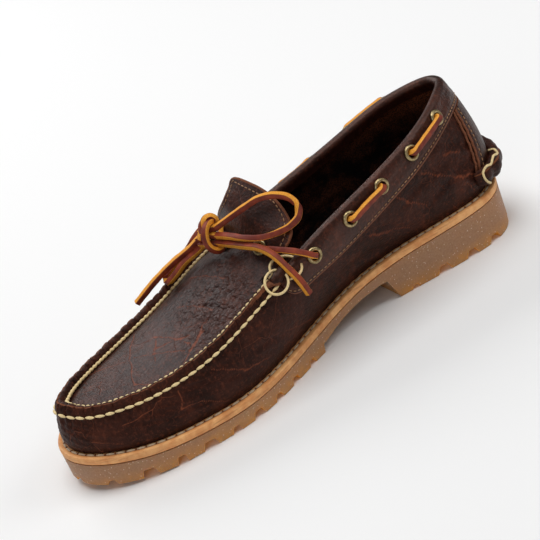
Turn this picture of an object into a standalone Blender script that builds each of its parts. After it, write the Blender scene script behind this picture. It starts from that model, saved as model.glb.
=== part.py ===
"""Hand-sewn camp moccasin, right shoe.

Lengths in the tables are millimetres in the shoe's own frame:
  s  runs forward from the back of the heel, x runs towards the inner (medial) side, z is up from the floor.
place() turns them into metres in the world, where the toe points to -Y and the inner side to +X.
"""
import math

import bmesh
import bpy
import numpy as np

MM = 0.001
CENTRE_S = 148.8        # the shoe's middle along s, so that the origin is under the middle of its box
CENTRE_X = -5.3         # the shoe's middle across

# ---- driving sizes ---------------------------------------------------------------------------------
GAP = 0.3               # clearance between neighbouring pieces
LEDGE = 5.0             # midsole standing out past the foot of the upper
MIDSOLE_THICKNESS = 4.5
INSOLE_THICKNESS = 3.0
LEATHER = 2.2           # upper leather with its lining
BAND = 1.7              # collar and heel strap leather
TONGUE_THICKNESS = 2.4
LACE = 3.2              # square lace, one side
EYELET_HOLE = 2.7       # radii of the eyelets
EYELET_BARREL = 3.1
EYELET_FLANGE = 4.7
EYELET_RIM = 1.3        # how far the flange stands up
SEAM_WIDTH = 5.0        # hand-sewn seam: plug edge to the outer row of stitches

# Rows round the shoe, from the toe along the inner side to the heel and back along the outer side.
# foot: where the upper meets the midsole; top: the outer row of the seam in front, the collar's edge behind;
# low and high: how far the wall swells out near its foot and near its top.
LAST_COLUMNS = ("foot_s", "foot_x", "top_s", "top_x", "top_z", "low", "high")
LAST = (
    (297.8, 5.5, 295.0, 5.5, 44.5, 3.0, 2.2),      # toe
    (290.9, 21.0, 285.0, 21.0, 42.2, 3.5, 3.0),
    (274.4, 32.8, 268.0, 31.0, 40.7, 3.5, 3.0),
    (254.6, 39.4, 251.0, 36.3, 40.2, 3.5, 3.0),
    (232.1, 42.6, 231.0, 40.0, 41.5, 3.5, 3.0),
    (209.9, 43.5, 209.0, 42.0, 45.5, 3.5, 3.2),    # ball
    (187.0, 39.0, 187.0, 42.2, 52.0, 4.5, 4.0),
    (164.0, 30.8, 166.0, 41.0, 58.5, 5.5, 5.0),    # throat, inner side
    (140.0, 24.0, 144.0, 39.3, 66.0, 6.0, 6.0),
    (114.0, 21.5, 117.0, 37.6, 72.5, 6.0, 6.0),    # waist
    (88.0, 23.6, 90.0, 36.1, 78.0, 6.0, 6.0),
    (63.0, 27.4, 63.0, 32.7, 83.5, 6.0, 7.0),
    (40.0, 30.0, 40.0, 25.7, 88.1, 6.5, 8.5),
    (20.0, 27.6, 22.6, 15.6, 91.2, 7.5, 9.5),
    (8.5, 15.0, 13.2, 7.6, 92.2, 7.5, 8.5),
    (5.2, -0.5, 10.8, 0.0, 92.4, 7.5, 8.0),      # back of the heel
    (8.9, -16.0, 13.2, -7.7, 91.8, 7.5, 8.5),
    (20.0, -28.2, 22.5, -15.1, 90.2, 7.5, 9.5),
    (38.0, -33.0, 39.8, -23.2, 86.6, 6.5, 8.5),
    (60.0, -34.8, 61.9, -27.5, 81.1, 5.5, 6.5),
    (86.0, -35.8, 88.0, -29.9, 75.5, 5.0, 5.5),
    (112.0, -38.2, 114.0, -31.4, 71.0, 5.0, 5.0),
    (138.0, -42.6, 140.0, -33.9, 66.0, 4.5, 5.0),
    (166.0, -48.5, 166.0, -39.5, 58.5, 4.5, 4.5),  # throat, outer side
    (188.0, -52.6, 187.0, -41.2, 52.0, 4.0, 4.0),
    (210.0, -54.3, 209.0, -40.2, 45.5, 3.5, 3.5),
    (232.0, -52.0, 231.0, -37.8, 41.5, 3.5, 3.0),
    (253.0, -44.8, 250.0, -33.0, 40.2, 3.5, 3.0),
    (270.5, -34.8, 267.0, -25.6, 40.7, 3.2, 2.6),
    (284.4, -23.4, 282.6, -15.4, 42.2, 3.0, 2.2),
    (294.0, -9.5, 292.0, -4.8, 43.8, 2.8, 2.0),
)
INNER_THROAT_ROW = 7
HEEL_ROW = 15
OUTER_THROAT_ROW = 23

# Side view of the sole: top of the midsole, underside of the rubber web between the lugs, and the tread.
SOLE_COLUMNS = ("s", "top", "web", "tread")
SOLE = (
    (-5.0, 30.3, 5.0, 0.0),
    (30.0, 29.3, 5.0, 0.0),
    (60.0, 28.3, 5.0, 0.0),
    (85.0, 26.8, 5.0, 0.0),
    (97.0, 25.4, 13.4, 0.0),
    (110.0, 23.6, 13.2, 0.0),
    (122.0, 21.4, 11.8, 0.0),
    (135.0, 18.9, 9.0, 0.0),
    (148.0, 16.8, 5.6, 0.0),
    (165.0, 15.2, 5.0, 0.0),
    (185.0, 14.4, 5.0, 0.0),
    (210.0, 14.2, 5.0, 0.0),
    (235.0, 14.9, 4.8, 0.0),
    (262.0, 17.1, 4.8, 0.6),
    (282.0, 20.1, 6.2, 2.2),
    (305.0, 24.3, 9.4, 5.2),
)
HEEL_BREAST = 93.0      # front of the heel block at the floor
BREAST_TOP = 98.0       # front of the heel block where it meets the arch
ARCH_FRONT = 150.0      # where the forefoot tread begins

# Gaps between the edge lugs, the same on both sides of the shoe. distance: round the sole's edge from the back
# of the heel; foot and head: the gap's width at the floor and at its top.
GAP_COLUMNS = ("distance", "foot", "head", "height")
GAPS = (
    (24.0, 9.0, 5.4, 4.6),
    (48.0, 9.4, 5.4, 4.8),
    (65.5, 9.0, 5.0, 4.8),
    (85.0, 9.8, 5.6, 5.0),
    (105.0, 5.0, 3.0, 2.6),
    (184.7, 6.5, 4.0, 3.8),
    (200.7, 7.5, 4.4, 4.3),
    (215.7, 7.0, 4.0, 4.0),
    (231.4, 8.6, 5.0, 4.7),
    (246.7, 6.5, 3.6, 4.0),
    (263.2, 10.0, 6.0, 5.0),
    (280.3, 6.5, 4.0, 5.0),
    (298.6, 9.4, 6.2, 5.2),
    (320.2, 6.5, 3.8, 3.0),
    (342.2, 6.5, 3.8, 3.0),
)
GAP_DEPTH = 13.0        # how far a gap runs in under the sole


def table_column(table, columns, name):
    return np.array([row[columns.index(name)] for row in table])


def ring_spline(values):
    """Smooth closed curve through the rows of a table; the row number is the parameter."""
    values = np.asarray(values, float)
    count = len(values)
    system = 4.0 * np.eye(count) + np.roll(np.eye(count), 1, axis=1) + np.roll(np.eye(count), -1, axis=1)
    slopes = np.linalg.solve(system, 3.0 * (np.roll(values, -1, axis=0) - np.roll(values, 1, axis=0)))

    def at(t):
        t = np.asarray(t, float) % count
        row = np.floor(t).astype(int) % count
        after = (row + 1) % count
        f = t - np.floor(t)
        if values.ndim > 1:
            f = f[..., None]
        return (values[row] * (1 + 2 * f) * (1 - f) ** 2 + slopes[row] * f * (1 - f) ** 2
                + values[after] * f ** 2 * (3 - 2 * f) + slopes[after] * f ** 2 * (f - 1))
    return at


def line_spline(places, values):
    """Smooth open curve through table values, straight beyond its ends."""
    places = np.asarray(places, float)
    values = np.asarray(values, float)
    slopes = np.gradient(values, places, axis=0)

    def at(p):
        p = np.clip(np.asarray(p, float), places[0], places[-1])
        row = np.clip(np.searchsorted(places, p, side="right") - 1, 0, len(places) - 2)
        step = places[row + 1] - places[row]
        f = (p - places[row]) / step
        if values.ndim > 1:
            f = f[..., None]
            step = step[..., None]
        return (values[row] * (1 + 2 * f) * (1 - f) ** 2 + slopes[row] * step * f * (1 - f) ** 2
                + values[row + 1] * f ** 2 * (3 - 2 * f) + slopes[row + 1] * step * f ** 2 * (f - 1))
    return at


last_at = ring_spline(LAST)


def last_values(t, *names):
    """The named columns of the last's table at row t, side by side."""
    row = last_at(t)
    return np.stack([row[..., LAST_COLUMNS.index(name)] for name in names], -1)


sole_at = line_spline(table_column(SOLE, SOLE_COLUMNS, "s"), [row[1:] for row in SOLE])


def sole_height(s, name):
    """One of the sole's named heights, along s."""
    return sole_at(s)[..., SOLE_COLUMNS.index(name) - 1]


def midsole_top(s):
    return sole_height(s, "top")


def web_under(s):
    return sole_height(s, "web")


def tread(s):
    return np.maximum(sole_height(s, "tread"), 0.0)


def unit(v):
    return v / np.linalg.norm(v, axis=-1, keepdims=True)


def plan_normal(curve, t, step=0.02):
    """Outward normal, seen from above, of a closed curve that starts at the toe and runs along the inner side."""
    along = curve(t + step)[..., :2] - curve(t - step)[..., :2]
    return unit(np.stack([along[..., 1], -along[..., 0]], -1))


def foot_point(t):
    return last_values(t, "foot_s", "foot_x")


def sole_edge(t, out=LEDGE):
    """Plan of the sole, (s, x), standing `out` past the foot of the upper."""
    return foot_point(t) + plan_normal(foot_point, t) * out


LOW_SHARE = 0.25        # how far up the wall its lower swell lies, as a share of the wall's rise
HIGH_SHARE = 0.35       # and how far down from its top the upper swell lies


# ---- the upper's own surface ------------------------------------------------------------------------
def wall_base(t, v):
    """Point on the outside of the upper's wall: t runs round the shoe, v from the foot (0) to the top (1)."""
    t, v = np.broadcast_arrays(np.asarray(t, float), np.asarray(v, float))
    plan = foot_point(t)
    out = plan_normal(foot_point, t)
    foot = np.concatenate([plan, (midsole_top(plan[..., 0]) + GAP)[..., None]], -1)
    top = last_values(t, "top_s", "top_x", "top_z")
    rise = (top[..., 2] - foot[..., 2])[..., None]
    up = np.array([0.0, 0.0, 1.0])
    out3 = np.concatenate([out, np.zeros_like(out[..., :1])], -1)
    low = foot + out3 * last_values(t, "low") + up * rise * LOW_SHARE
    high = top + out3 * last_values(t, "high") - up * rise * HIGH_SHARE
    v = v[..., None]
    return foot * (1 - v) ** 3 + low * 3 * v * (1 - v) ** 2 + high * 3 * v ** 2 * (1 - v) + top * v ** 3


def wall_normal(t, v):
    """Outward normal of the wall."""
    t, v = np.broadcast_arrays(np.asarray(t, float), np.asarray(v, float))
    around = wall_base(t + 0.02, v) - wall_base(t - 0.02, v)
    upward = wall_base(t, np.minimum(v + 0.01, 1.0)) - wall_base(t, np.maximum(v - 0.01, 0.0))
    return unit(np.cross(around, upward))


def wall(t, v, out=0.0):
    """Wall surface moved `out` along its own normal."""
    return wall_base(t, v) + wall_normal(t, v) * out


# ---- the hand-sewn seam and the plug ------------------------------------------------------------------
# Section through the raised seam, from the wall's top in to the plug's edge: share of the seam's width, height.
RIDGE = (
    (0.10, 2.0),
    (0.24, 4.4),
    (0.66, 4.9),
    (0.84, 2.8),
)
PLUG_RISE = 1.0         # plug's edge over the wall's top
CROWN = (               # how far the plug's middle arches over its edges, along s
    (150.0, 9.0),
    (166.0, 9.0),
    (182.0, 8.8),
    (200.0, 7.2),
    (235.0, 3.4),
    (265.0, 1.8),
    (295.0, 0.3),
)
crown_at = line_spline([row[0] for row in CROWN], [row[1] for row in CROWN])


def top_point(t):
    return last_values(t, "top_s", "top_x")


def seam_point(t, share, height):
    """Point over the seam's section, `share` of the way from the wall's top to the plug's edge."""
    inward = -plan_normal(top_point, t)
    plan = top_point(t) + inward * SEAM_WIDTH * share
    z = last_values(t, "top_z")[..., 0] + PLUG_RISE * share + height
    return np.concatenate([plan, z[..., None]], -1)


def seam_pair(step):
    """Row numbers of the inner-side and outer-side points that face each other: 0 at the toe, 1 at the throat."""
    rows = len(LAST)
    return INNER_THROAT_ROW * step, rows - (rows - OUTER_THROAT_ROW) * step


def plug_point(step, across):
    """Outside of the plug: across runs from 0 at the inner side's seam to 1 at the outer side's."""
    step, across = np.broadcast_arrays(np.asarray(step, float), np.asarray(across, float))
    inner, outer = seam_pair(step)
    a = seam_point(inner, 1.0, 0.0)
    b = seam_point(outer, 1.0, 0.0)
    w = across[..., None]
    point = a * (1 - w) + b * w
    arch = 4.0 * across * (1.0 - across)
    point[..., 2] += crown_at(point[..., 0]) * arch
    return point


# ---- mesh helpers ----------------------------------------------------------------------------------
def place(points):
    """Shoe frame in millimetres to world metres."""
    p = np.asarray(points, float)
    return np.stack([p[..., 1] - CENTRE_X, CENTRE_S - p[..., 0], p[..., 2]], -1) * MM


def material(name, colour, roughness, metallic=0.0):
    made = bpy.data.materials.new(name)
    made.use_nodes = True
    shader = made.node_tree.nodes["Principled BSDF"]
    shader.inputs["Base Color"].default_value = (*colour, 1.0)
    shader.inputs["Roughness"].default_value = roughness
    shader.inputs["Metallic"].default_value = metallic
    made.diffuse_color = (*colour, 1.0)
    return made


def make_object(name, points, faces, finish):
    """A closed mesh object from shoe-frame points, its faces turned outwards."""
    mesh = bpy.data.meshes.new(name)
    mesh.from_pydata(place(points).tolist(), [], faces)
    work = bmesh.new()
    work.from_mesh(mesh)
    bmesh.ops.recalc_face_normals(work, faces=work.faces)
    work.to_mesh(mesh)
    work.free()
    mesh.shade_smooth()
    mesh.set_sharp_from_angle(angle=math.radians(40.0))
    mesh.materials.append(finish)
    made = bpy.data.objects.new(name, mesh)
    bpy.context.scene.collection.objects.link(made)
    return made


def grid_faces(rows, columns, closed_columns=False):
    """Quads over rows of points, each row `columns` long."""
    faces = []
    for r in range(rows - 1):
        for c in range(columns if closed_columns else columns - 1):
            d = (c + 1) % columns
            faces.append((r * columns + c, r * columns + d, (r + 1) * columns + d, (r + 1) * columns + c))
    return faces


def shell_faces(faces, count):
    """Closes a sheet and its copy (numbered from `count` on) into one skin."""
    edges = [(a, b) for face in faces for a, b in zip(face, face[1:] + face[:1])]
    uses = {}
    for a, b in edges:
        key = (min(a, b), max(a, b))
        uses[key] = uses.get(key, 0) + 1
    rim = [(a, b) for a, b in edges if uses[(min(a, b), max(a, b))] == 1]
    back = [tuple(count + i for i in reversed(face)) for face in faces]
    return faces + back + [(b, a, count + a, count + b) for a, b in rim]


def loft(name, sections, finish):
    """Closed solid through equal rings of points, capped at both ends."""
    sections = np.asarray(sections, float)
    rings, size = sections.shape[:2]
    faces = grid_faces(rings, size, closed_columns=True)
    faces.append(tuple(range(size)))
    faces.append(tuple((rings - 1) * size + i for i in reversed(range(size))))
    return make_object(name, sections.reshape(-1, 3), faces, finish)


def patch(name, t, v, low, high, finish):
    """Solid between two offsets of the upper's wall, over a grid of t and v."""
    outer = wall(t, v, high).reshape(-1, 3)
    inner = wall(t, v, low).reshape(-1, 3)
    faces = shell_faces(grid_faces(*t.shape), len(outer))
    return make_object(name, np.concatenate([outer, inner]), faces, finish)


# ---- sole pieces -------------------------------------------------------------------------------------
SOLE_STATIONS = 80      # points round the sole's edge


def edge_ring(out, count=SOLE_STATIONS):
    """Plan points round the sole, evenly spaced, from the toe along the inner side."""
    fine = np.linspace(0.0, len(LAST), 1241)
    points = sole_edge(fine, out)
    run = np.concatenate([[0.0], np.cumsum(np.linalg.norm(np.diff(points, axis=0), axis=1))])
    t = np.interp(np.linspace(0.0, run[-1], count, endpoint=False), run, fine)
    return sole_edge(t, out)


def edge_distance_point(distance, out=LEDGE):
    """Point and outward normal on the sole's edge, `distance` from the back of the heel along the inner side."""
    fine = np.linspace(HEEL_ROW, HEEL_ROW - len(LAST), 1241)
    points = sole_edge(fine, out)
    run = np.concatenate([[0.0], np.cumsum(np.linalg.norm(np.diff(points, axis=0), axis=1))])
    t = np.interp(distance % run[-1], run, fine)
    return sole_edge(t, out), plan_normal(foot_point, t)


def sole_plate(name, out, upper_z, lower_z, finish):
    """Plate that follows the sole's outline between two heights given along s."""
    ring = edge_ring(out)
    count = len(ring)
    s = ring[:, 0]
    top = np.column_stack([ring, upper_z(s)])
    bottom = np.column_stack([ring, lower_z(s)])
    faces = [(i, (i + 1) % count, count + (i + 1) % count, count + i) for i in range(count)]
    for first in (0, count):
        faces += cap_faces(ring, first)
    return make_object(name, np.concatenate([top, bottom]), faces, finish)


def cap_faces(ring, first):
    """Triangles across the outline between its inner and outer sides, walking from toe to heel."""
    s = ring[:, 0]
    toe = int(np.argmax(s))
    count = len(ring)
    left, right = toe, toe
    faces = []
    for _ in range(count - 2):
        next_left = (left + 1) % count
        next_right = (right - 1) % count
        if next_left == right or next_right == left:
            break
        if s[next_left] >= s[next_right]:
            if left != right:
                faces.append((first + right, first + left, first + next_left))
            else:
                faces.append((first + left, first + next_left, first + next_right))
                right = next_right
            left = next_left
        else:
            if left != right:
                faces.append((first + right, first + left, first + next_right))
            else:
                faces.append((first + left, first + next_left, first + next_right))
                left = next_left
            right = next_right
    return faces


def arch_cutter():
    """Block across the shoe that clears the waist between the heel block and the forefoot tread."""
    far = 90.0
    below = -5.0
    beyond = 2.0
    s = np.linspace(BREAST_TOP, ARCH_FRONT, 13)
    profile = [(HEEL_BREAST - beyond, below)] + list(zip(s, web_under(s))) + [(ARCH_FRONT + beyond, below)]
    sections = [[(p[0], x, p[1]) for p in profile] for x in (-far, far)]
    return loft("arch cutter", sections, None)


def gap_cutter():
    """All the wedges between the edge lugs, as one cutter."""
    proud = 4.0
    under = 1.0
    points = []
    faces = []
    columns = [table_column(GAPS, GAP_COLUMNS, name) for name in GAP_COLUMNS]
    for distance, foot, head, height in zip(*columns):
        for way in (1, -1):
            place_on_edge, out = edge_distance_point(way * distance)
            side = np.array([-out[1], out[0]])
            floor = tread(place_on_edge[0])
            foot_half = foot / 2 + (foot - head) / height * under / 2
            first = len(points)
            for reach in (proud, -GAP_DEPTH):
                for half, z in ((-foot_half, floor - under), (foot_half, floor - under),
                                (head / 2, floor + height), (-head / 2, floor + height)):
                    plan = place_on_edge + out * reach + side * half
                    points.append((plan[0], plan[1], z))
            quads = [(0, 1, 2, 3), (4, 7, 6, 5), (0, 4, 5, 1), (1, 5, 6, 2), (2, 6, 7, 3), (3, 7, 4, 0)]
            faces += [tuple(first + i for i in quad) for quad in quads]
    return make_object("gap cutter", points, faces, None)


def cut(target, cutter):
    """Cuts one object out of another and keeps the cutter as a wire guide."""
    cutter.hide_render = True
    cutter.display_type = "WIRE"
    modifier = target.modifiers.new("Cut " + cutter.name, "BOOLEAN")
    modifier.operation = "DIFFERENCE"
    modifier.solver = "EXACT"
    modifier.object = cutter


def make_sole(looks):
    outsole = sole_plate("outsole", LEDGE, lambda s: midsole_top(s) - MIDSOLE_THICKNESS - GAP, tread, looks["rubber"])
    cut(outsole, arch_cutter())
    cut(outsole, gap_cutter())
    sole_plate("midsole", LEDGE, midsole_top, lambda s: midsole_top(s) - MIDSOLE_THICKNESS, looks["veg leather"])
    inset = -(LEATHER + 2 * GAP)
    sole_plate("insole", inset, lambda s: midsole_top(s) + GAP + INSOLE_THICKNESS,
               lambda s: midsole_top(s) + GAP, looks["lining"])


# ---- upper -------------------------------------------------------------------------------------------
FRONT_STEPS = 16        # stations from the toe to the throat, on each side
WALL_ROWS = 7
PLUG_COLUMNS = 8
REAR_T = np.linspace(INNER_THROAT_ROW, OUTER_THROAT_ROW, 41)
PLUG_DROP = 2.4         # thickness of the plug, measured straight down
PLUG_STEPS = 15         # the plug stops one station short of the seam's ends; the tongue fills the rest


def make_upper(looks):
    """Hollow upper: wall all round, raised seam and plug in front, open above the heel half and underneath."""
    steps = np.linspace(0.0, 1.0, FRONT_STEPS + 1)
    inner_t, outer_t = seam_pair(steps)
    ring_t = np.concatenate([inner_t, REAR_T[1:-1], outer_t[:0:-1]])
    ring = len(ring_t)
    heights = np.linspace(0.0, 1.0, WALL_ROWS + 1)
    t, v = np.meshgrid(ring_t, heights, indexing="ij")
    outside = [wall(t, v, 0.0).reshape(-1, 3)]
    inside = [wall(t, v, -LEATHER).reshape(-1, 3)]
    faces = []
    rows = WALL_ROWS + 1
    for i in range(ring):
        j = (i + 1) % ring
        for r in range(WALL_ROWS):
            faces.append((i * rows + r, j * rows + r, j * rows + r + 1, i * rows + r + 1))

    front = [ring - FRONT_STEPS + i for i in range(FRONT_STEPS)] + list(range(FRONT_STEPS + 1))
    front_t = ring_t[front]
    top_outside = wall(front_t, 1.0, 0.0)
    top_inside = wall(front_t, 1.0, -LEATHER)
    edge_outside = seam_point(front_t, 1.0, 0.0)
    edge_inside = edge_outside - np.array([0.0, 0.0, PLUG_DROP])
    count = ring * rows
    seam_rows = [np.array([i * rows + WALL_ROWS for i in front])]
    for share, height in RIDGE + ((1.0, 0.0),):
        outside.append(edge_outside if share == 1.0 else seam_point(front_t, share, height))
        inside.append(top_inside * (1.0 - share) + edge_inside * share)
        seam_rows.append(count + np.arange(len(front)))
        count += len(front)
    for low, high in zip(seam_rows[:-1], seam_rows[1:]):
        for i in range(len(front) - 1):
            faces.append((low[i], low[i + 1], high[i + 1], high[i]))

    edge = seam_rows[-1]
    toe = FRONT_STEPS
    across = np.linspace(0.0, 1.0, PLUG_COLUMNS + 1)
    lines = [[edge[toe]] * (PLUG_COLUMNS + 1)]
    for k in range(1, PLUG_STEPS + 1):
        middle = plug_point(steps[k], across[1:-1])
        outside.append(middle)
        inside.append(middle - np.array([0.0, 0.0, PLUG_DROP]))
        lines.append([edge[toe + k]] + [count + i for i in range(PLUG_COLUMNS - 1)] + [edge[toe - k]])
        count += PLUG_COLUMNS - 1
    for before, after in zip(lines[:-1], lines[1:]):
        for a, b, c, d in zip(before, before[1:], after[1:], after):
            faces.append((b, c, d) if a == b else (a, b, c, d))
    faces = [tuple(int(i) for i in face) for face in faces]
    points = np.concatenate(outside + inside)
    return make_object("upper", points, shell_faces(faces, count), looks["leather"])


# ---- tongue ------------------------------------------------------------------------------------------
TONGUE_TIP_LENGTH = 25.7
TONGUE_LEAN = (-0.23, -0.33)      # how far s and z shift per millimetre across, as the tongue leans to one side
TONGUE_LEAN_LENGTH = 38.0       # the lean fades out over this length from the tip
TONGUE_COLUMNS = ("s", "z", "x", "radius", "half_width")
TONGUE = (              # middle of its outside, from the tip down and forward, how it arches across, and its width
    (141.5, 97.8, 2.9, 66.0, 29.5),
    (148.5, 91.8, 2.9, 60.0, 29.5),
    (154.0, 86.0, 2.9, 56.0, 29.5),
    (157.5, 79.5, 2.9, 56.0, 29.5),
    (160.5, 73.8, 2.6, 58.0, 29.5),
    (165.0, 69.8, 1.8, 66.0, 31.0),
    (169.0, 67.9, 0.9, 73.0, 33.0),
    (171.5, 66.8, 0.8, 73.0, 33.0),
    (175.4, 62.4, 0.7, 73.0, 30.0),
    (186.0, 58.8, 0.7, 73.0, 30.0),
)


def tongue_curve():
    """The tongue's length along its middle, and its rows as splines over that length."""
    s = table_column(TONGUE, TONGUE_COLUMNS, "s")
    z = table_column(TONGUE, TONGUE_COLUMNS, "z")
    run = np.concatenate([[0.0], np.cumsum(np.hypot(np.diff(s), np.diff(z)))])
    return run[-1], line_spline(run, np.array(TONGUE, float))


TONGUE_LENGTH, tongue_at = tongue_curve()


def tongue_point(run, x, out=0.0):
    """Point over the tongue: run along its middle from the tip, x across from its middle, out along its normal."""
    run, x = np.broadcast_arrays(np.asarray(run, float), np.asarray(x, float))
    small = 0.5
    row = tongue_at(run)
    slope = tongue_at(np.minimum(run + small, TONGUE_LENGTH)) - tongue_at(np.maximum(run - small, 0.0))
    along = unit(slope[..., 0:2])
    up = np.stack([-along[..., 1], along[..., 0]], -1)
    radius = row[..., TONGUE_COLUMNS.index("radius")]
    angle = np.arcsin(np.clip(x / radius, -1.0, 1.0))
    lift = radius * (np.cos(angle) - 1.0) + out * np.cos(angle)
    plan = row[..., 0:2] + up * lift[..., None]
    fade = np.clip(1.0 - run / TONGUE_LEAN_LENGTH, 0.0, 1.0)
    lean = x * fade ** 2 * (3.0 - 2.0 * fade)
    return np.stack([plan[..., 0] + TONGUE_LEAN[0] * lean, row[..., 2] + x + out * np.sin(angle),
                     plan[..., 1] + TONGUE_LEAN[1] * lean], -1)


def tongue_half_width(run):
    beyond = np.clip(1.0 - run / TONGUE_TIP_LENGTH, 0.0, 1.0)
    return tongue_at(run)[..., TONGUE_COLUMNS.index("half_width")] * np.sqrt(1.0 - beyond ** 2)


def make_tongue(looks):
    near_tip = TONGUE_TIP_LENGTH * (1.0 - np.cos(np.linspace(0.16, math.pi / 2, 8)))
    runs = np.concatenate([near_tip, np.linspace(TONGUE_TIP_LENGTH, TONGUE_LENGTH, 13)[1:]])
    across = np.linspace(-1.0, 1.0, 9)
    run, share = np.meshgrid(runs, across, indexing="ij")
    x = share * tongue_half_width(run)
    outer = tongue_point(run, x, 0.0).reshape(-1, 3)
    inner = tongue_point(run, x, -TONGUE_THICKNESS).reshape(-1, 3)
    faces = shell_faces(grid_faces(len(runs), len(across)), len(outer))
    return make_object("tongue", np.concatenate([outer, inner]), faces, looks["leather"])


# ---- collar, heel strap and heel roll -----------------------------------------------------------------
COLLAR_BAND = (         # s, and the height of the band under the collar's edge there
    (10.0, 12.5),
    (46.0, 14.0),
    (64.0, 15.5),
    (83.0, 16.5),
    (102.0, 18.0),
    (124.0, 18.8),
    (150.0, 15.0),
    (166.0, 11.0),
)
band_at = line_spline([row[0] for row in COLLAR_BAND], [row[1] for row in COLLAR_BAND])
COLLAR_START = 7.1      # the collar's ends, in rows, just behind the seam's ends
COLLAR_END = 22.9
COLLAR_CORNER = 9.0     # rounding of its lower front corners
COLLAR_INSIDE = 9.0     # how far it turns down inside


def wall_height_v(t, depth):
    """Wall parameter v at a distance under the top edge, measured along the wall."""
    v = np.linspace(1.0, 0.0, 81)
    points = wall_base(t, v)
    run = np.concatenate([[0.0], np.cumsum(np.linalg.norm(np.diff(points, axis=0), axis=1))])
    return np.interp(depth, run, v)


def collar_depth(t):
    """Height of the collar band at t, with its lower front corners rounded."""
    row = last_at(t)
    height = float(band_at(row[2]))
    end = COLLAR_START if t < HEEL_ROW else COLLAR_END
    reach = float(np.linalg.norm((wall_base(t, 1.0) - wall_base(end, 1.0))))
    inside = max(COLLAR_CORNER - reach, 0.0)
    return height - COLLAR_CORNER + math.sqrt(max(COLLAR_CORNER ** 2 - inside ** 2, 0.0))


def collar_section(t):
    """Ring of points round the collar's thickness: down outside, back up, over the edge and down inside."""
    outer_v = [wall_height_v(t, depth) for depth in np.linspace(collar_depth(t), 0.0, 4)]
    inner_v = [wall_height_v(t, depth) for depth in np.linspace(0.0, COLLAR_INSIDE, 2)]
    middle = wall(t, 1.0, -LEATHER / 2)
    out = wall_normal(t, 1.0)
    up = unit(wall_base(t, 1.0) - wall_base(t, 0.98))
    rings = []
    for offset in (GAP + BAND, GAP):
        radius = LEATHER / 2 + offset
        turn = np.linspace(0.0, math.pi, 5)[1:-1]
        ring = [wall(t, v, offset) for v in outer_v]
        ring += [middle + out * radius * math.cos(a) + up * radius * math.sin(a) for a in turn]
        ring += [wall(t, v, -LEATHER - offset) for v in inner_v]
        rings.append(ring)
    return rings[0] + rings[1][::-1]


def make_collar(looks):
    ends = np.array([0.0, 0.1, 0.2])
    inside = REAR_T[(REAR_T > COLLAR_START + 0.25) & (REAR_T < COLLAR_END - 0.25)]
    stations = np.concatenate([COLLAR_START + ends, inside, (COLLAR_END - ends)[::-1]])
    return loft("collar", [collar_section(t) for t in stations], looks["leather"])


HEEL_STRAP_FOOT = 0.295         # v of the strap's lower edge
HEEL_STRAP_FOOT_HALF = 2.05     # half its width there, in rows
HEEL_STRAP_HEAD_HALF = 1.80     # and under the collar
HEEL_STRAP_STEPS = 6
HEEL_ROLL_V = 0.2
HEEL_ROLL_THICKNESS = 8.0
HEEL_ROLL_HEIGHT = 11.0
HEEL_ROLL_HALF = 2.2            # in rows, each side of the heel
HEEL_ROLL_END = 0.5             # height of its ends as a share


def make_heel(looks):
    share = np.linspace(0.0, 1.0, HEEL_STRAP_STEPS)
    half = HEEL_STRAP_FOOT_HALF + (HEEL_STRAP_HEAD_HALF - HEEL_STRAP_FOOT_HALF) * share
    across = np.linspace(-1.0, 1.0, 2 * HEEL_STRAP_STEPS - 1)
    t = HEEL_ROW + across[:, None] * half[None, :]
    head = np.min([wall_height_v(float(at), collar_depth(float(at)) + 2 * GAP) for at in t[:, -1]])
    v = np.broadcast_to(HEEL_STRAP_FOOT + (head - HEEL_STRAP_FOOT) * share, t.shape)
    patch("heel_strap", t, v, GAP, GAP + BAND, looks["leather"])

    sections = []
    tip = HEEL_ROLL_HALF * 1.08     # where the roll would come to a point
    near = 0.02
    for t in np.linspace(HEEL_ROW - HEEL_ROLL_HALF, HEEL_ROW + HEEL_ROLL_HALF, 13):
        fade = math.sqrt(1.0 - (abs(t - HEEL_ROW) / tip) ** 4)
        half = HEEL_ROLL_THICKNESS / 2 * fade
        middle = wall(t, HEEL_ROLL_V, GAP * 1.5 + half)
        out = wall_normal(t, HEEL_ROLL_V)
        up = unit(wall_base(t, HEEL_ROLL_V + near) - wall_base(t, HEEL_ROLL_V - near))
        angles = np.linspace(0.0, 2 * math.pi, 12, endpoint=False)
        tall = HEEL_ROLL_HEIGHT / 2 * (HEEL_ROLL_END + (1.0 - HEEL_ROLL_END) * fade)
        sections.append([middle + out * half * math.cos(a) + up * tall * math.sin(a) for a in angles])
    loft("heel_roll", sections, looks["leather"])


# ---- eyelets and lace bars ---------------------------------------------------------------------------
COLLAR_EYELETS = (      # s, and how far the centre lies under the wall's top edge
    (140.5, 4.3),
    (112.0, 4.9),
    (86.8, 4.4),
    (61.0, 4.2),
    (34.7, 4.4),
)
THROAT_EYELETS = (      # on the tongue: along from its tip, and across
    (30.5, 17.0),
    (36.5, -11.5),
)
EYELET_SIDES = 10


def rim_row(s, side):
    """Row number where the wall's top edge passes s, on the inner (+1) or outer (-1) side."""
    first, last = (INNER_THROAT_ROW, HEEL_ROW) if side > 0 else (OUTER_THROAT_ROW, HEEL_ROW)
    t = np.linspace(last, first, 401)
    return float(np.interp(s, last_at(t)[:, 2], t))


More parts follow.
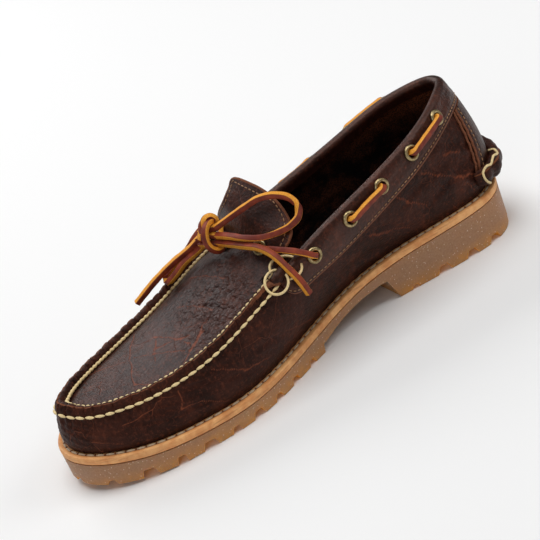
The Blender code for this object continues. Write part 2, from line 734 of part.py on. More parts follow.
def eyelet_seats():
    """Name, centre on the surface, outward normal, a direction across and the flange's lift, for every eyelet."""
    seats = []
    top = GAP + BAND

    def band_surface(t, v):
        return wall(t, v, top)

    for side, label in ((1, "inner"), (-1, "outer")):
        for number, (s, depth) in enumerate(COLLAR_EYELETS, 1):
            t = rim_row(s, side)
            v = float(wall_height_v(t, depth))
            centre = band_surface(t, v)
            normal = wall_normal(t, v)
            along = band_surface(t + 0.05, v) - band_surface(t - 0.05, v)
            upward = band_surface(t, v + 0.01) - band_surface(t, v - 0.01)
            spread = (EYELET_FLANGE * 0.1 / np.linalg.norm(along), EYELET_FLANGE * 0.02 / np.linalg.norm(upward))
            lift = flange_lift(band_surface, t, v, centre, normal, spread)
            seats.append((f"eyelet_{label}_{number}", centre, normal, unit(along), lift))
    for (run, x), label in zip(THROAT_EYELETS, ("inner", "outer")):
        centre = tongue_point(run, x)
        normal = unit(tongue_point(run, x, 1.0) - centre)
        along = unit(tongue_point(run, x + 0.5) - tongue_point(run, x - 0.5))
        lift = flange_lift(tongue_point, run, x, centre, normal, (EYELET_FLANGE, EYELET_FLANGE))
        seats.append((f"eyelet_throat_{label}", centre, normal, along, lift))
    return seats


def turned(name, centre, normal, across, profile, sides, finish):
    """Solid of revolution about a surface normal, from a closed profile of (radius, height)."""
    across = unit(across - normal * np.dot(across, normal))
    side = np.cross(normal, across)
    rings = []
    for a in np.linspace(0.0, 2 * math.pi, sides, endpoint=False):
        direction = across * math.cos(a) + side * math.sin(a)
        rings.append([centre + direction * r + normal * h for r, h in profile])
    size = len(profile)
    faces = []
    for i in range(sides):
        j = (i + 1) % sides
        for k in range(size):
            m = (k + 1) % size
            faces.append((i * size + k, j * size + k, j * size + m, i * size + m))
    return make_object(name, np.array(rings).reshape(-1, 3), faces, finish)


def cylinder(name, centre, normal, across, radius, low, high, sides=12):
    """Plain cylinder along a normal, used as a cutter."""
    across = unit(across - normal * np.dot(across, normal))
    side = np.cross(normal, across)
    sections = []
    for h in (low, high):
        sections.append([centre + normal * h + (across * math.cos(a) + side * math.sin(a)) * radius
                         for a in np.linspace(0.0, 2 * math.pi, sides, endpoint=False)])
    return loft(name, sections, None)


EYELET_TAIL = 1.1       # how far the barrel reaches down into the leather


def flange_lift(at, u, w, centre, normal, spread):
    """Height over the centre that keeps an eyelet's flange clear of the leather curving round it."""
    du, dw = spread
    rise = 0.0
    for a in np.linspace(0.0, 2 * math.pi, 16, endpoint=False):
        near = at(u + du * math.cos(a), w + dw * math.sin(a))
        rise = max(rise, float(np.dot(near - centre, normal)))
    return rise + GAP


def make_eyelets(looks, collar, tongue):
    for name, centre, normal, across, lift in eyelet_seats():
        profile = (
            (EYELET_HOLE, -EYELET_TAIL),
            (EYELET_BARREL, -EYELET_TAIL),
            (EYELET_BARREL, lift),
            (EYELET_FLANGE, lift),
            (EYELET_FLANGE - 0.3, lift + 0.6),
            (EYELET_FLANGE - 1.1, lift + EYELET_RIM),
            (EYELET_HOLE, lift + 0.8),
        )
        turned(name, centre, normal, across, profile, EYELET_SIDES, looks["brass"])
        on_tongue = "throat" in name
        depth = TONGUE_THICKNESS + 2.0 if on_tongue else BAND + GAP * 0.5
        hole = cylinder("hole " + name, centre, normal, across, EYELET_BARREL + GAP, -depth, 3.0)
        cut(tongue if on_tongue else collar, hole)


# ---- lace --------------------------------------------------------------------------------------------
LACE_BEND = 2.6         # radius of the lace's middle where it turns into an eyelet
LACE_FOOT = 0.6         # how far its end reaches down into the barrel


def square_bar(name, path, upward, finish):
    """Square lace along a path, its top face turned to the given directions."""
    path = np.asarray(path, float)
    along = unit(np.gradient(path, axis=0))
    upward = np.asarray(upward, float)
    upward = unit(upward - along * (along * upward).sum(-1, keepdims=True))
    across = np.cross(along, upward)
    half = LACE / 2
    corners = ((1, 1), (1, -1), (-1, -1), (-1, 1))
    sections = [[p + u * half * i + w * half * j for i, j in corners] for p, u, w in zip(path, upward, across)]
    return loft(name, sections, finish)


def eyelet_turn(seat, target):
    """The lace's way out of an eyelet and over its flange, towards another point, with its top directions."""
    _, centre, normal, _, lift = seat
    way = target - centre
    way = unit(way - normal * np.dot(way, normal))
    height = lift + EYELET_RIM + GAP + LACE / 2
    path = [centre - normal * LACE_FOOT]
    upward = [-way]
    for a in np.linspace(0.0, math.pi / 2, 5):
        path.append(centre + normal * (height - LACE_BEND * (1.0 - math.sin(a))) + way * LACE_BEND * (1.0 - math.cos(a)))
        upward.append(normal * math.sin(a) - way * math.cos(a))
    return path, upward, way


def bezier(a, b, c, d, count):
    u = np.linspace(0.0, 1.0, count)[:, None]
    return a * (1 - u) ** 3 + b * 3 * u * (1 - u) ** 2 + c * 3 * u ** 2 * (1 - u) + d * u ** 3


COLLAR_BARS = ((2, 3), (4, 5))          # pairs of collar eyelets that a stretch of lace joins on the outside
FRONT_BAR_RISE = 3.0                    # how much the front stretch arches up over the collar's edge
FRONT_BAR_FALL = 0.3                    # how much of that arch is left at the throat's eyelet
FRONT_BAR_REACH = 9.0                   # how far its ends hold their own direction


def joined_bar(name, first, last, reach, lift, looks):
    """A stretch of lace from one eyelet to another, arched by moving its inner guide points by `lift`."""
    start, start_up, start_way = eyelet_turn(first, last[1])
    end, end_up, end_way = eyelet_turn(last, first[1])
    middle = bezier(start[-1], start[-1] + start_way * reach + lift[0],
                    end[-1] + end_way * reach + lift[1], end[-1], 9)[1:-1]
    shares = np.linspace(0.0, 1.0, 9)[1:-1, None]
    middle_up = start_up[-1] * (1.0 - shares) + end_up[-1] * shares
    path = start + list(middle) + end[::-1]
    upward = start_up + list(middle_up) + end_up[::-1]
    square_bar(name, path, upward, looks["lace"])


def make_bars(looks):
    seats = {seat[0]: seat for seat in eyelet_seats()}
    for side in ("inner", "outer"):
        for a, b in COLLAR_BARS:
            first = seats[f"eyelet_{side}_{a}"]
            last = seats[f"eyelet_{side}_{b}"]
            reach = np.linalg.norm(last[1] - first[1]) / 3
            sink = [-seat[2] for seat in (first, last)]
            joined_bar(f"lace_{side}_{a}_{b}", first, last, reach, sink, looks)
        first = seats[f"eyelet_{side}_1"]
        last = seats[f"eyelet_throat_{side}"]
        up = np.array([0.0, 0.0, FRONT_BAR_RISE])
        joined_bar(f"lace_{side}_front", first, last, FRONT_BAR_REACH, (up, up * FRONT_BAR_FALL), looks)


# The bow: routes of its two loops and two ends, and its knot.
KNOT_CENTRE = (174.2, -11.4, 78.8)
KNOT_AXIS = (-0.40, 0.90, 0.10)         # along the strands that it ties
KNOT_HALF_LENGTH = 5.5
KNOT_RADIUS = 7.8
BOW_INNER_LOOP = (
    (168.7, -5.5, 84.1),
    (160.9, 1.0, 88.3),
    (153.1, 8.7, 92.9),
    (146.1, 16.4, 96.6),
    (139.2, 21.7, 95.6),
    (134.6, 26.8, 92.4),
    (133.4, 30.4, 87.2),
    (136.1, 31.9, 82.9),
    (141.6, 30.9, 80.2),
    (149.2, 28.9, 79.6),
    (157.3, 25.5, 80.3),
    (163.5, 16.6, 80.8),
    (167.1, 6.1, 81.0),
    (170.3, -4.4, 80.2),
)
BOW_INNER_END = (
    (171.6, -6.0, 76.0),
    (168.5, 5.0, 76.4),
    (165.2, 17.3, 77.0),
    (161.8, 28.3, 76.7),
    (159.7, 35.5, 73.8),
    (157.6, 43.2, 66.0),
    (155.5, 47.3, 58.0),
    (153.8, 49.0, 48.8),
)
BOW_OUTER_END = (
    (176.0, -18.2, 77.1),
    (180.2, -22.8, 73.0),
    (190.8, -30.6, 66.8),
    (202.6, -37.6, 59.5),
    (216.9, -44.0, 49.8),
)
BOW_OUTER_LOOP = (
    (174.9, -16.7, 73.6),
    (179.5, -20.6, 69.8),
    (187.6, -24.8, 65.7),
    (194.6, -27.6, 60.7),
    (198.6, -30.9, 57.6),
    (198.0, -35.2, 57.6),
    (192.6, -36.6, 60.0),
    (186.6, -35.6, 62.9),
    (180.9, -33.2, 66.6),
    (176.3, -30.0, 71.4),
    (172.8, -26.0, 76.3),
    (170.6, -20.6, 80.6),
)
CORD_SPACING = 6.6      # distance between a cord's points


def smooth_route(points):
    """Evenly spaced points on a smooth curve through a route's own points."""
    points = np.array(points, float)
    run = np.concatenate([[0.0], np.cumsum(np.linalg.norm(np.diff(points, axis=0), axis=1))])
    curve = line_spline(run, points)
    count = int(round(run[-1] / CORD_SPACING)) + 1
    return curve(np.linspace(0.0, run[-1], count))


def cord(name, points, finish):
    """Round tube along a route, with flat ends."""
    route = place(smooth_route(points))
    curve = bpy.data.curves.new(name, "CURVE")
    curve.dimensions = "3D"
    curve.bevel_depth = LACE / 2 * MM
    curve.bevel_resolution = 2
    curve.use_fill_caps = True
    spline = curve.splines.new("POLY")
    spline.points.add(len(route) - 1)
    for point, place_at in zip(spline.points, route):
        point.co = (*place_at, 1.0)
    curve.materials.append(finish)
    made = bpy.data.objects.new(name, curve)
    bpy.context.scene.collection.objects.link(made)
    return made


def make_bow(looks):
    axis = unit(np.array(KNOT_AXIS))
    side = unit(np.cross(axis, np.array([0.0, 0.0, 1.0])))
    up = np.cross(side, axis)
    sections = []
    for u in np.linspace(-0.96, 0.96, 7):
        radius = KNOT_RADIUS * math.sqrt(1.0 - abs(u) ** 2.5)
        middle = np.array(KNOT_CENTRE) + axis * KNOT_HALF_LENGTH * u
        sections.append([middle + (side * math.cos(a) + up * math.sin(a)) * radius
                         for a in np.linspace(0.0, 2 * math.pi, 12, endpoint=False)])
    loft("lace_knot", sections, looks["lace"])
    cord("lace_loop_inner", BOW_INNER_LOOP, looks["lace"])
    cord("lace_end_inner", BOW_INNER_END, looks["lace"])
    cord("lace_end_outer", BOW_OUTER_END, looks["lace"])
    cord("lace_loop_outer", BOW_OUTER_LOOP, looks["lace"])


# ---- start ------------------------------------------------------------------------------------------
def main():
    for old in list(bpy.data.objects):
        bpy.data.objects.remove(old)
    looks = {
        "leather": material("oiled leather", (0.075, 0.035, 0.028), 0.45),
        "veg leather": material("vegetable leather", (0.55, 0.27, 0.12), 0.6),
        "lining": material("lining", (0.05, 0.03, 0.025), 0.85),
        "rubber": material("gum rubber", (0.28, 0.15, 0.07), 0.5),
        "brass": material("antique brass", (0.35, 0.25, 0.13), 0.35, metallic=1.0),
        "lace": material("lace leather", (0.22, 0.05, 0.035), 0.5),
    }
    make_sole(looks)
    make_upper(looks)
    tongue = make_tongue(looks)
    collar = make_collar(looks)
    make_heel(looks)
    make_eyelets(looks, collar, tongue)
    make_bars(looks)
    make_bow(looks)


main()
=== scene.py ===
"""Finished surfaces of the hand-sewn moccasin: leather, seams, laces, eyelets, midsole, lug sole and stage.

Lengths in the tables are millimetres in the shoe's own frame:
  s  runs forward from the back of the heel, x runs towards the inner side, z is up from the floor.
place() turns them into metres in the world, where the toe points to -Y and the inner side to +X.
"""
import math

import bpy
import numpy as np
from mathutils import Matrix, Vector


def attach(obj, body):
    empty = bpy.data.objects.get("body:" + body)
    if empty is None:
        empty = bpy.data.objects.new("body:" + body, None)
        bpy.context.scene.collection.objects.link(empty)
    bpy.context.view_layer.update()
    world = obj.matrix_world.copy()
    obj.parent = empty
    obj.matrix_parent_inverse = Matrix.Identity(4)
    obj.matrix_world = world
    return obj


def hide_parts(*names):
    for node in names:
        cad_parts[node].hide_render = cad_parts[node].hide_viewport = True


bl_info = {
    "name": "Hand-sewn moccasin",
    "version": (1, 0, 0),
    "blender": (4, 5, 0),
    "location": "3D View > Sidebar > Shoe",
    "description": "Dresses the moccasin's solids with leather, thread, lace, brass and rubber",
    "category": "Object",
}

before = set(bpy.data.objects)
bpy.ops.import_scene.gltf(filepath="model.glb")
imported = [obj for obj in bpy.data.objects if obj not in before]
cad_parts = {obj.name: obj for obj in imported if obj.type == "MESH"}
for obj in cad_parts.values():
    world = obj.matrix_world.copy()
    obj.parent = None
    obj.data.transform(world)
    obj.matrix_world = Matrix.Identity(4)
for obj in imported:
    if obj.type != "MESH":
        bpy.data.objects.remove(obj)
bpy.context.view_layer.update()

MM = 0.001
CENTRE_S = 148.8
CENTRE_X = -5.3
GAP = 0.3
LEDGE = 5.0
LEATHER = 2.2
BAND = 1.7
MIDSOLE_THICKNESS = 4.5
SEAM_WIDTH = 5.0
LACE = 3.2

# ---- the last ----
LAST_COLUMNS = ("foot_s", "foot_x", "top_s", "top_x", "top_z", "low", "high")
LAST = (                # low and high are how far the wall bulges near its foot and near its top
    (297.8, 5.5, 295.0, 5.5, 44.5, 3.0, 2.2),      # toe
    (290.9, 21.0, 285.0, 21.0, 42.2, 3.5, 3.0),
    (274.4, 32.8, 268.0, 31.0, 40.7, 3.5, 3.0),
    (254.6, 39.4, 251.0, 36.3, 40.2, 3.5, 3.0),
    (232.1, 42.6, 231.0, 40.0, 41.5, 3.5, 3.0),
    (209.9, 43.5, 209.0, 42.0, 45.5, 3.5, 3.2),    # ball
    (187.0, 39.0, 187.0, 42.2, 52.0, 4.5, 4.0),
    (164.0, 30.8, 166.0, 41.0, 58.5, 5.5, 5.0),    # throat, inner side
    (140.0, 24.0, 144.0, 39.3, 66.0, 6.0, 6.0),
    (114.0, 21.5, 117.0, 37.6, 72.5, 6.0, 6.0),    # waist
    (88.0, 23.6, 90.0, 36.1, 78.0, 6.0, 6.0),
    (63.0, 27.4, 63.0, 32.7, 83.5, 6.0, 7.0),
    (40.0, 30.0, 40.0, 25.7, 88.1, 6.5, 8.5),
    (20.0, 27.6, 22.6, 15.6, 91.2, 7.5, 9.5),
    (8.5, 15.0, 13.2, 7.6, 92.2, 7.5, 8.5),
    (5.2, -0.5, 10.8, 0.0, 92.4, 7.5, 8.0),        # back of the heel
    (8.9, -16.0, 13.2, -7.7, 91.8, 7.5, 8.5),
    (20.0, -28.2, 22.5, -15.1, 90.2, 7.5, 9.5),
    (38.0, -33.0, 39.8, -23.2, 86.6, 6.5, 8.5),
    (60.0, -34.8, 61.9, -27.5, 81.1, 5.5, 6.5),
    (86.0, -35.8, 88.0, -29.9, 75.5, 5.0, 5.5),
    (112.0, -38.2, 114.0, -31.4, 71.0, 5.0, 5.0),
    (138.0, -42.6, 140.0, -33.9, 66.0, 4.5, 5.0),
    (166.0, -48.5, 166.0, -39.5, 58.5, 4.5, 4.5),  # throat, outer side
    (188.0, -52.6, 187.0, -41.2, 52.0, 4.0, 4.0),
    (210.0, -54.3, 209.0, -40.2, 45.5, 3.5, 3.5),
    (232.0, -52.0, 231.0, -37.8, 41.5, 3.5, 3.0),
    (253.0, -44.8, 250.0, -33.0, 40.2, 3.5, 3.0),
    (270.5, -34.8, 267.0, -25.6, 40.7, 3.2, 2.6),
    (284.4, -23.4, 282.6, -15.4, 42.2, 3.0, 2.2),
    (294.0, -9.5, 292.0, -4.8, 43.8, 2.8, 2.0),
)
ROWS = len(LAST)
INNER_THROAT_ROW = 7
HEEL_ROW = 15
OUTER_THROAT_ROW = 23

SOLE_COLUMNS = ("s", "top", "web", "tread")
SOLE = (
    (-5.0, 30.3, 5.0, 0.0),
    (30.0, 29.3, 5.0, 0.0),
    (60.0, 28.3, 5.0, 0.0),
    (85.0, 26.8, 5.0, 0.0),
    (97.0, 25.4, 13.4, 0.0),
    (110.0, 23.6, 13.2, 0.0),
    (122.0, 21.4, 11.8, 0.0),
    (135.0, 18.9, 9.0, 0.0),
    (148.0, 16.8, 5.6, 0.0),
    (165.0, 15.2, 5.0, 0.0),
    (185.0, 14.4, 5.0, 0.0),
    (210.0, 14.2, 5.0, 0.0),
    (235.0, 14.9, 4.8, 0.0),
    (262.0, 17.1, 4.8, 0.6),
    (282.0, 20.1, 6.2, 2.2),
    (305.0, 24.3, 9.4, 5.2),
)
HEEL_BREAST = 93.0
BREAST_TOP = 98.0
ARCH_FRONT = 150.0
GAPS = (                # distance along the edge from the back of the heel, widths at floor and top, height
    (24.0, 9.0, 5.4, 4.6), (48.0, 9.4, 5.4, 4.8), (65.5, 9.0, 5.0, 4.8), (85.0, 9.8, 5.6, 5.0),
    (105.0, 5.0, 3.0, 2.6), (184.7, 6.5, 4.0, 3.8), (200.7, 7.5, 4.4, 4.3), (215.7, 7.0, 4.0, 4.0),
    (231.4, 8.6, 5.0, 4.7), (246.7, 6.5, 3.6, 4.0), (263.2, 10.0, 6.0, 5.0), (280.3, 6.5, 4.0, 5.0),
    (298.6, 9.4, 6.2, 5.2), (320.2, 6.5, 3.8, 3.0), (342.2, 6.5, 3.8, 3.0),
)
GAP_DEPTH = 13.0
UP = np.array([0.0, 0.0, 1.0])
LOW_SHARE = 0.25        # of the wall's rise, from its foot to its lower bulge
HIGH_SHARE = 0.35       # and from its top down to its upper bulge
ROW_STEP = 0.02         # a little way round the shoe and up the wall, to find directions
RISE_STEP = 0.01


def hermite(f, before, after, slope_before, slope_after):
    """Cubic between two values with a slope at each."""
    return (before * (1 + 2 * f) * (1 - f) ** 2 + slope_before * f * (1 - f) ** 2
            + after * f ** 2 * (3 - 2 * f) + slope_after * f ** 2 * (f - 1))


def ring_spline(values):
    """Smooth closed curve through the rows of a table; the row number is the parameter."""
    values = np.asarray(values, float)
    count = len(values)
    system = 4.0 * np.eye(count) + np.roll(np.eye(count), 1, axis=1) + np.roll(np.eye(count), -1, axis=1)
    slopes = np.linalg.solve(system, 3.0 * (np.roll(values, -1, axis=0) - np.roll(values, 1, axis=0)))

    def at(t):
        t = np.asarray(t, float) % count
        row = np.floor(t).astype(int) % count
        after = (row + 1) % count
        f = (t - np.floor(t))[..., None]
        return hermite(f, values[row], values[after], slopes[row], slopes[after])
    return at


def line_spline(places, values):
    """Smooth open curve through table values, level beyond its ends."""
    places = np.asarray(places, float)
    values = np.asarray(values, float)
    slopes = np.gradient(values, places, axis=0)

    def at(p):
        p = np.clip(np.asarray(p, float), places[0], places[-1])
        row = np.clip(np.searchsorted(places, p, side="right") - 1, 0, len(places) - 2)
        step = places[row + 1] - places[row]
        f = (p - places[row]) / step
        if values.ndim > 1:
            f = f[..., None]
            step = step[..., None]
        return hermite(f, values[row], values[row + 1], slopes[row] * step, slopes[row + 1] * step)
    return at


def table_line(table):
    """Smooth curve through a table of two columns."""
    return line_spline(*zip(*table))


last_at = ring_spline(LAST)
sole_at = line_spline([row[0] for row in SOLE], SOLE)


def columns(row, *names):
    """Named columns of the last's rows."""
    return row[..., [LAST_COLUMNS.index(name) for name in names]]


def sole_height(s, name):
    """A column of the sole at s."""
    return sole_at(s)[..., SOLE_COLUMNS.index(name)]


def midsole_top(s):
    return sole_height(s, "top")


def tread(s):
    return np.maximum(sole_height(s, "tread"), 0.0)


def unit(v):
    return v / np.maximum(np.linalg.norm(v, axis=-1, keepdims=True), 1e-12)


def running_length(points):
    """Distance along a line of points, for each of them."""
    return np.concatenate([[0.0], np.cumsum(np.linalg.norm(np.diff(points, axis=0), axis=1))])


def interp_points(where, run, points):
    """Points of a line at given distances along it."""
    return np.stack([np.interp(where, run, points[:, axis]) for axis in range(3)], -1)


def smooth(low, high, x):
    """0 below low, 1 above high, soft between."""
    f = np.clip((np.asarray(x, float) - low) / (high - low), 0.0, 1.0)
    return f * f * (3.0 - 2.0 * f)


def round_angles(count):
    return np.linspace(0.0, 2 * math.pi, count, endpoint=False)


def hump(x, middle, width):
    """1 at the middle, fading to 0 a few widths away."""
    return np.exp(-((x - middle) / width) ** 2)


def plan_normal(curve, t):
    """Outward direction in plan of a curve round the shoe."""
    along = curve(t + ROW_STEP) - curve(t - ROW_STEP)
    return unit(np.stack([along[..., 1], -along[..., 0]], -1))


def foot_point(t):
    return columns(last_at(t), "foot_s", "foot_x")


def top_point(t):
    """The top edge in plan, as foot_point is the wall's foot."""
    return columns(last_at(t), "top_s", "top_x")


def sole_edge(t, out=LEDGE):
    """The sole's outline in plan."""
    return foot_point(t) + plan_normal(foot_point, t) * out


def both_arrays(a, b):
    """Two numbers or arrays as arrays of one shape."""
    return np.broadcast_arrays(np.asarray(a, float), np.asarray(b, float))


def bezier(a, b, c, d, u):
    """Cubic from a to d, drawn towards b and c on its way."""
    return a * (1 - u) ** 3 + b * 3 * u * (1 - u) ** 2 + c * 3 * u ** 2 * (1 - u) + d * u ** 3


def wall_base(t, v):
    """Outside of the upper's wall: t runs round the shoe, v from the foot (0) to the top (1)."""
    t, v = both_arrays(t, v)
    row = last_at(t)
    plan = columns(row, "foot_s", "foot_x")
    out = plan_normal(foot_point, t)
    foot = np.concatenate([plan, (midsole_top(plan[..., 0]) + GAP)[..., None]], -1)
    top = columns(row, "top_s", "top_x", "top_z")
    rise = (top[..., 2] - foot[..., 2])[..., None]
    out3 = np.concatenate([out, np.zeros_like(out[..., :1])], -1)
    low = foot + out3 * columns(row, "low") + UP * rise * LOW_SHARE
    high = top + out3 * columns(row, "high") - UP * rise * HIGH_SHARE
    return bezier(foot, low, high, top, v[..., None])


def wall_normal(t, v):
    t, v = both_arrays(t, v)
    around = wall_base(t + ROW_STEP, v) - wall_base(t - ROW_STEP, v)
    upward = wall_base(t, np.minimum(v + RISE_STEP, 1.0)) - wall_base(t, np.maximum(v - RISE_STEP, 0.0))
    return unit(np.cross(around, upward))


def wall(t, v, out=0.0):
    out = np.asarray(out, float)
    return wall_base(t, v) + wall_normal(t, v) * (out[..., None] if out.ndim else out)


def wall_height_v(t, depth):
    """Wall parameter v at a distance under the top edge, measured along the wall."""
    v = np.linspace(1.0, 0.0, 81)
    points = wall_base(t, v)
    return np.interp(depth, running_length(points), v)


CROWN = (               # s and how high the plug's middle arches over its edges
    (150.0, 9.0), (166.0, 9.0), (182.0, 8.8), (200.0, 7.2), (235.0, 3.4), (265.0, 1.8), (295.0, 0.3),
)
crown_at = table_line(CROWN)


def seam_point(t, share, height):
    """Point over the seam, `share` of the way from the wall's top to the plug's edge."""
    row = last_at(t)
    share = np.asarray(share, float)
    inward = -plan_normal(top_point, t)
    plan = columns(row, "top_s", "top_x") + inward * (SEAM_WIDTH * share)[..., None]
    z = columns(row, "top_z")[..., 0] + share + height
    return np.concatenate([plan, z[..., None]], -1)


def seam_pair(step):
    return INNER_THROAT_ROW * step, ROWS - (ROWS - OUTER_THROAT_ROW) * step


def plug_point(step, across):
    """Outside of the plug: step 0 at the toe and 1 at the throat, across from the inner to the outer seam."""
    step, across = both_arrays(step, across)
    inner, outer = seam_pair(step)
    a = seam_point(inner, np.ones_like(inner), 0.0)
    b = seam_point(outer, np.ones_like(outer), 0.0)
    w = across[..., None]
    point = a * (1 - w) + b * w
    point[..., 2] += crown_at(point[..., 0]) * 4.0 * across * (1.0 - across)
    return point


# ---- tongue ----
TONGUE_TIP_LENGTH = 25.7
TONGUE_LEAN = (-0.23, -0.33)
TONGUE_LEAN_LENGTH = 38.0
TONGUE = (              # s, z, x, radius, half_width
    (141.5, 97.8, 2.9, 66.0, 29.5),
    (148.5, 91.8, 2.9, 60.0, 29.5),
    (154.0, 86.0, 2.9, 56.0, 29.5),
    (157.5, 79.5, 2.9, 56.0, 29.5),
    (160.5, 73.8, 2.6, 58.0, 29.5),
    (165.0, 69.8, 1.8, 66.0, 31.0),
    (169.0, 67.9, 0.9, 73.0, 33.0),
    (171.5, 66.8, 0.8, 73.0, 33.0),
    (175.4, 62.4, 0.7, 73.0, 30.0),
    (186.0, 58.8, 0.7, 73.0, 30.0),
)
TONGUE_RUN = running_length(np.array(TONGUE)[:, :2])
TONGUE_LENGTH = TONGUE_RUN[-1]
TONGUE_JOIN = TONGUE_RUN[7]     # where the plug takes over from the tongue
tongue_at = line_spline(TONGUE_RUN, TONGUE)


def tongue_point(run, x, out=0.0):
    """Point over the tongue: run along its middle from the tip, x across from its middle."""
    run, x = both_arrays(run, x)
    row = tongue_at(run)
    slope = tongue_at(np.minimum(run + 0.5, TONGUE_LENGTH)) - tongue_at(np.maximum(run - 0.5, 0.0))
    along = unit(slope[..., 0:2])
    up = np.stack([-along[..., 1], along[..., 0]], -1)
    flat = smooth(6.0, 16.0, run) * (1 - smooth(30.0, 44.0, run)) * smooth(-2.0, -10.0, x)
    radius = row[..., 3] * (1 + 1.6 * flat)
    angle = np.arcsin(np.clip(x / radius, -1.0, 1.0))
    lift = radius * (np.cos(angle) - 1.0) + out * np.cos(angle)
    plan = row[..., 0:2] + up * lift[..., None]
    fade = np.clip(1.0 - run / TONGUE_LEAN_LENGTH, 0.0, 1.0)
    lean = x * fade ** 2 * (3.0 - 2.0 * fade)
    return np.stack([plan[..., 0] + TONGUE_LEAN[0] * lean, row[..., 2] + x + out * np.sin(angle),
                     plan[..., 1] + TONGUE_LEAN[1] * lean], -1)


TONGUE_OUTER = (        # run and half width: the outer side has a tight corner and a wide foot
    (0.0, 0.0), (0.25, 8.0), (0.7, 13.0), (1.4, 16.2), (2.4, 17.8), (4.0, 18.2), (6.5, 17.9), (9.0, 17.6),
    (12.0, 17.9), (15.0, 18.8), (18.0, 21.0), (21.0, 24.2), (24.0, 28.0), (27.0, 31.0), (32.0, 32.5),
)


def tongue_half_width(run, side=1.0):
    """Half width at run; the outer side (-1) has a tighter corner and a wider foot."""
    beyond = np.clip(1.0 - run / TONGUE_TIP_LENGTH, 0.0, 1.0)
    wide = tongue_at(run)[..., 4] * np.maximum(1.0 - beyond ** 2.3, 0.0) ** 0.47
    outer = np.interp(run, *zip(*TONGUE_OUTER))
    outer = outer + (wide - outer) * smooth(30.0, 38.0, run)
    return np.where(np.asarray(side) < 0, outer, wide)


# ---- collar ----
COLLAR_BAND = (         # s and height of the band
    (10.0, 12.5), (46.0, 14.0), (64.0, 15.5), (83.0, 16.5), (102.0, 18.0), (124.0, 18.8),
    (150.0, 15.0), (166.0, 11.0),
)
band_at = table_line(COLLAR_BAND)
COLLAR_START = 7.1
COLLAR_END = 22.9
COLLAR_CORNER = 9.0     # radius of its lower front corners, and the rows that they take
COLLAR_CORNER_ROWS = 0.35
COLLAR_INSIDE = 5.0
COLLAR_STITCH_INSET = 2.3       # of its machine stitches, over its lower edge


def collar_depth(t):
    """Height of the collar band at t, with its lower front corners rounded."""
    height = float(band_at(top_point(t)[0]))
    end = COLLAR_START if t < HEEL_ROW else COLLAR_END
    reach = float(np.linalg.norm(wall_base(t, 1.0) - wall_base(end, 1.0)))
    inside = max(COLLAR_CORNER - reach, 0.0)
    return height - COLLAR_CORNER + math.sqrt(max(COLLAR_CORNER ** 2 - inside ** 2, 0.0))


# ---- mesh helpers ----
def place(points):
    """Shoe frame in millimetres to world metres."""
    p = np.asarray(points, float)
    return np.stack([p[..., 1] - CENTRE_X, CENTRE_S - p[..., 0], p[..., 2]], -1) * MM


def turn(directions):
    """Shoe frame directions to world directions."""
    d = np.asarray(directions, float)
    return np.stack([d[..., 1], -d[..., 0], d[..., 2]], -1)


def deselect():
    """Leaves edit mode with nothing selected."""
    if bpy.context.object and bpy.context.object.mode != "OBJECT":
        bpy.ops.object.mode_set(mode="OBJECT")
    bpy.ops.object.select_all(action="DESELECT")


def activate(piece):
    """Selects one piece alone."""
    deselect()
    piece.select_set(True)
    bpy.context.view_layer.objects.active = piece


def edit_all(piece, operation, **settings):
    """Runs a mesh operator on the whole of a piece."""
    activate(piece)
    bpy.ops.object.mode_set(mode="EDIT")
    bpy.ops.mesh.select_all(action="SELECT")
    operation(**settings)
    bpy.ops.object.mode_set(mode="OBJECT")


def weld(piece, distance=1e-6):
    """Merges vertices that lie together."""
    edit_all(piece, bpy.ops.mesh.remove_doubles, threshold=distance)


def face_outwards(piece):
    edit_all(piece, bpy.ops.mesh.normals_make_consistent, inside=False)


def shade(piece, angle):
    activate(piece)
    bpy.ops.object.shade_smooth_by_angle(angle=math.radians(angle))


def joined(pieces):
    """One object made of several."""
    deselect()
    for piece in pieces:
        piece.select_set(True)
    bpy.context.view_layer.objects.active = pieces[0]
    bpy.ops.object.join()
    return bpy.context.object


def new_piece(name, points, faces, edges=()):
    """An object with a mesh of world points."""
    mesh = bpy.data.meshes.new(name)
    mesh.from_pydata(np.asarray(points, float).tolist(), list(edges), faces)
    piece = bpy.data.objects.new(name, mesh)
    bpy.context.scene.collection.objects.link(piece)
    return piece


def read_vertices(mesh, what):
    """Positions or normals of a mesh's vertices, as rows."""
    flat = np.empty(len(mesh.vertices) * 3)
    mesh.vertices.foreach_get(what, flat)
    return flat.reshape(-1, 3)


def apply_modifier(piece, kind, **settings):
    """Adds a modifier, sets it and applies it."""
    activate(piece)
    modifier = piece.modifiers.new(kind.title(), kind)
    for key, value in settings.items():
        setattr(modifier, key, value)
    bpy.ops.object.modifier_apply(modifier=modifier.name)


def thicken(piece, thickness, inside, rim):
    """Gives a sheet its thickness inwards; inside and rim are the finishes of its inner skin and cut edge."""
    apply_modifier(piece, "SOLIDIFY", thickness=thickness * MM, offset=-1.0, use_even_offset=False,
                   material_offset=inside, material_offset_rim=rim)


def cut(piece, cutter, **settings):
    """Cuts one object out of a piece and removes it."""
    apply_modifier(piece, "BOOLEAN", operation="DIFFERENCE", solver="EXACT", object=cutter, **settings)
    bpy.data.objects.remove(cutter)


def finish_piece(piece, finishes, replaced=(), angle=None, body="root"):
    """Gives a piece its named finishes and seats it on its body; edges sharper than angle stay sharp."""
    skins = [0] * len(piece.data.polygons)
    piece.data.polygons.foreach_get("material_index", skins)
    piece.data.materials.clear()
    for name in finishes:
        piece.data.materials.append(finish(name))
    piece.data.polygons.foreach_set("material_index", [min(skin, len(finishes) - 1) for skin in skins])
    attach(piece, body)
    if replaced:
        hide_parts(*replaced)
    if angle:
        shade(piece, angle)
    return piece


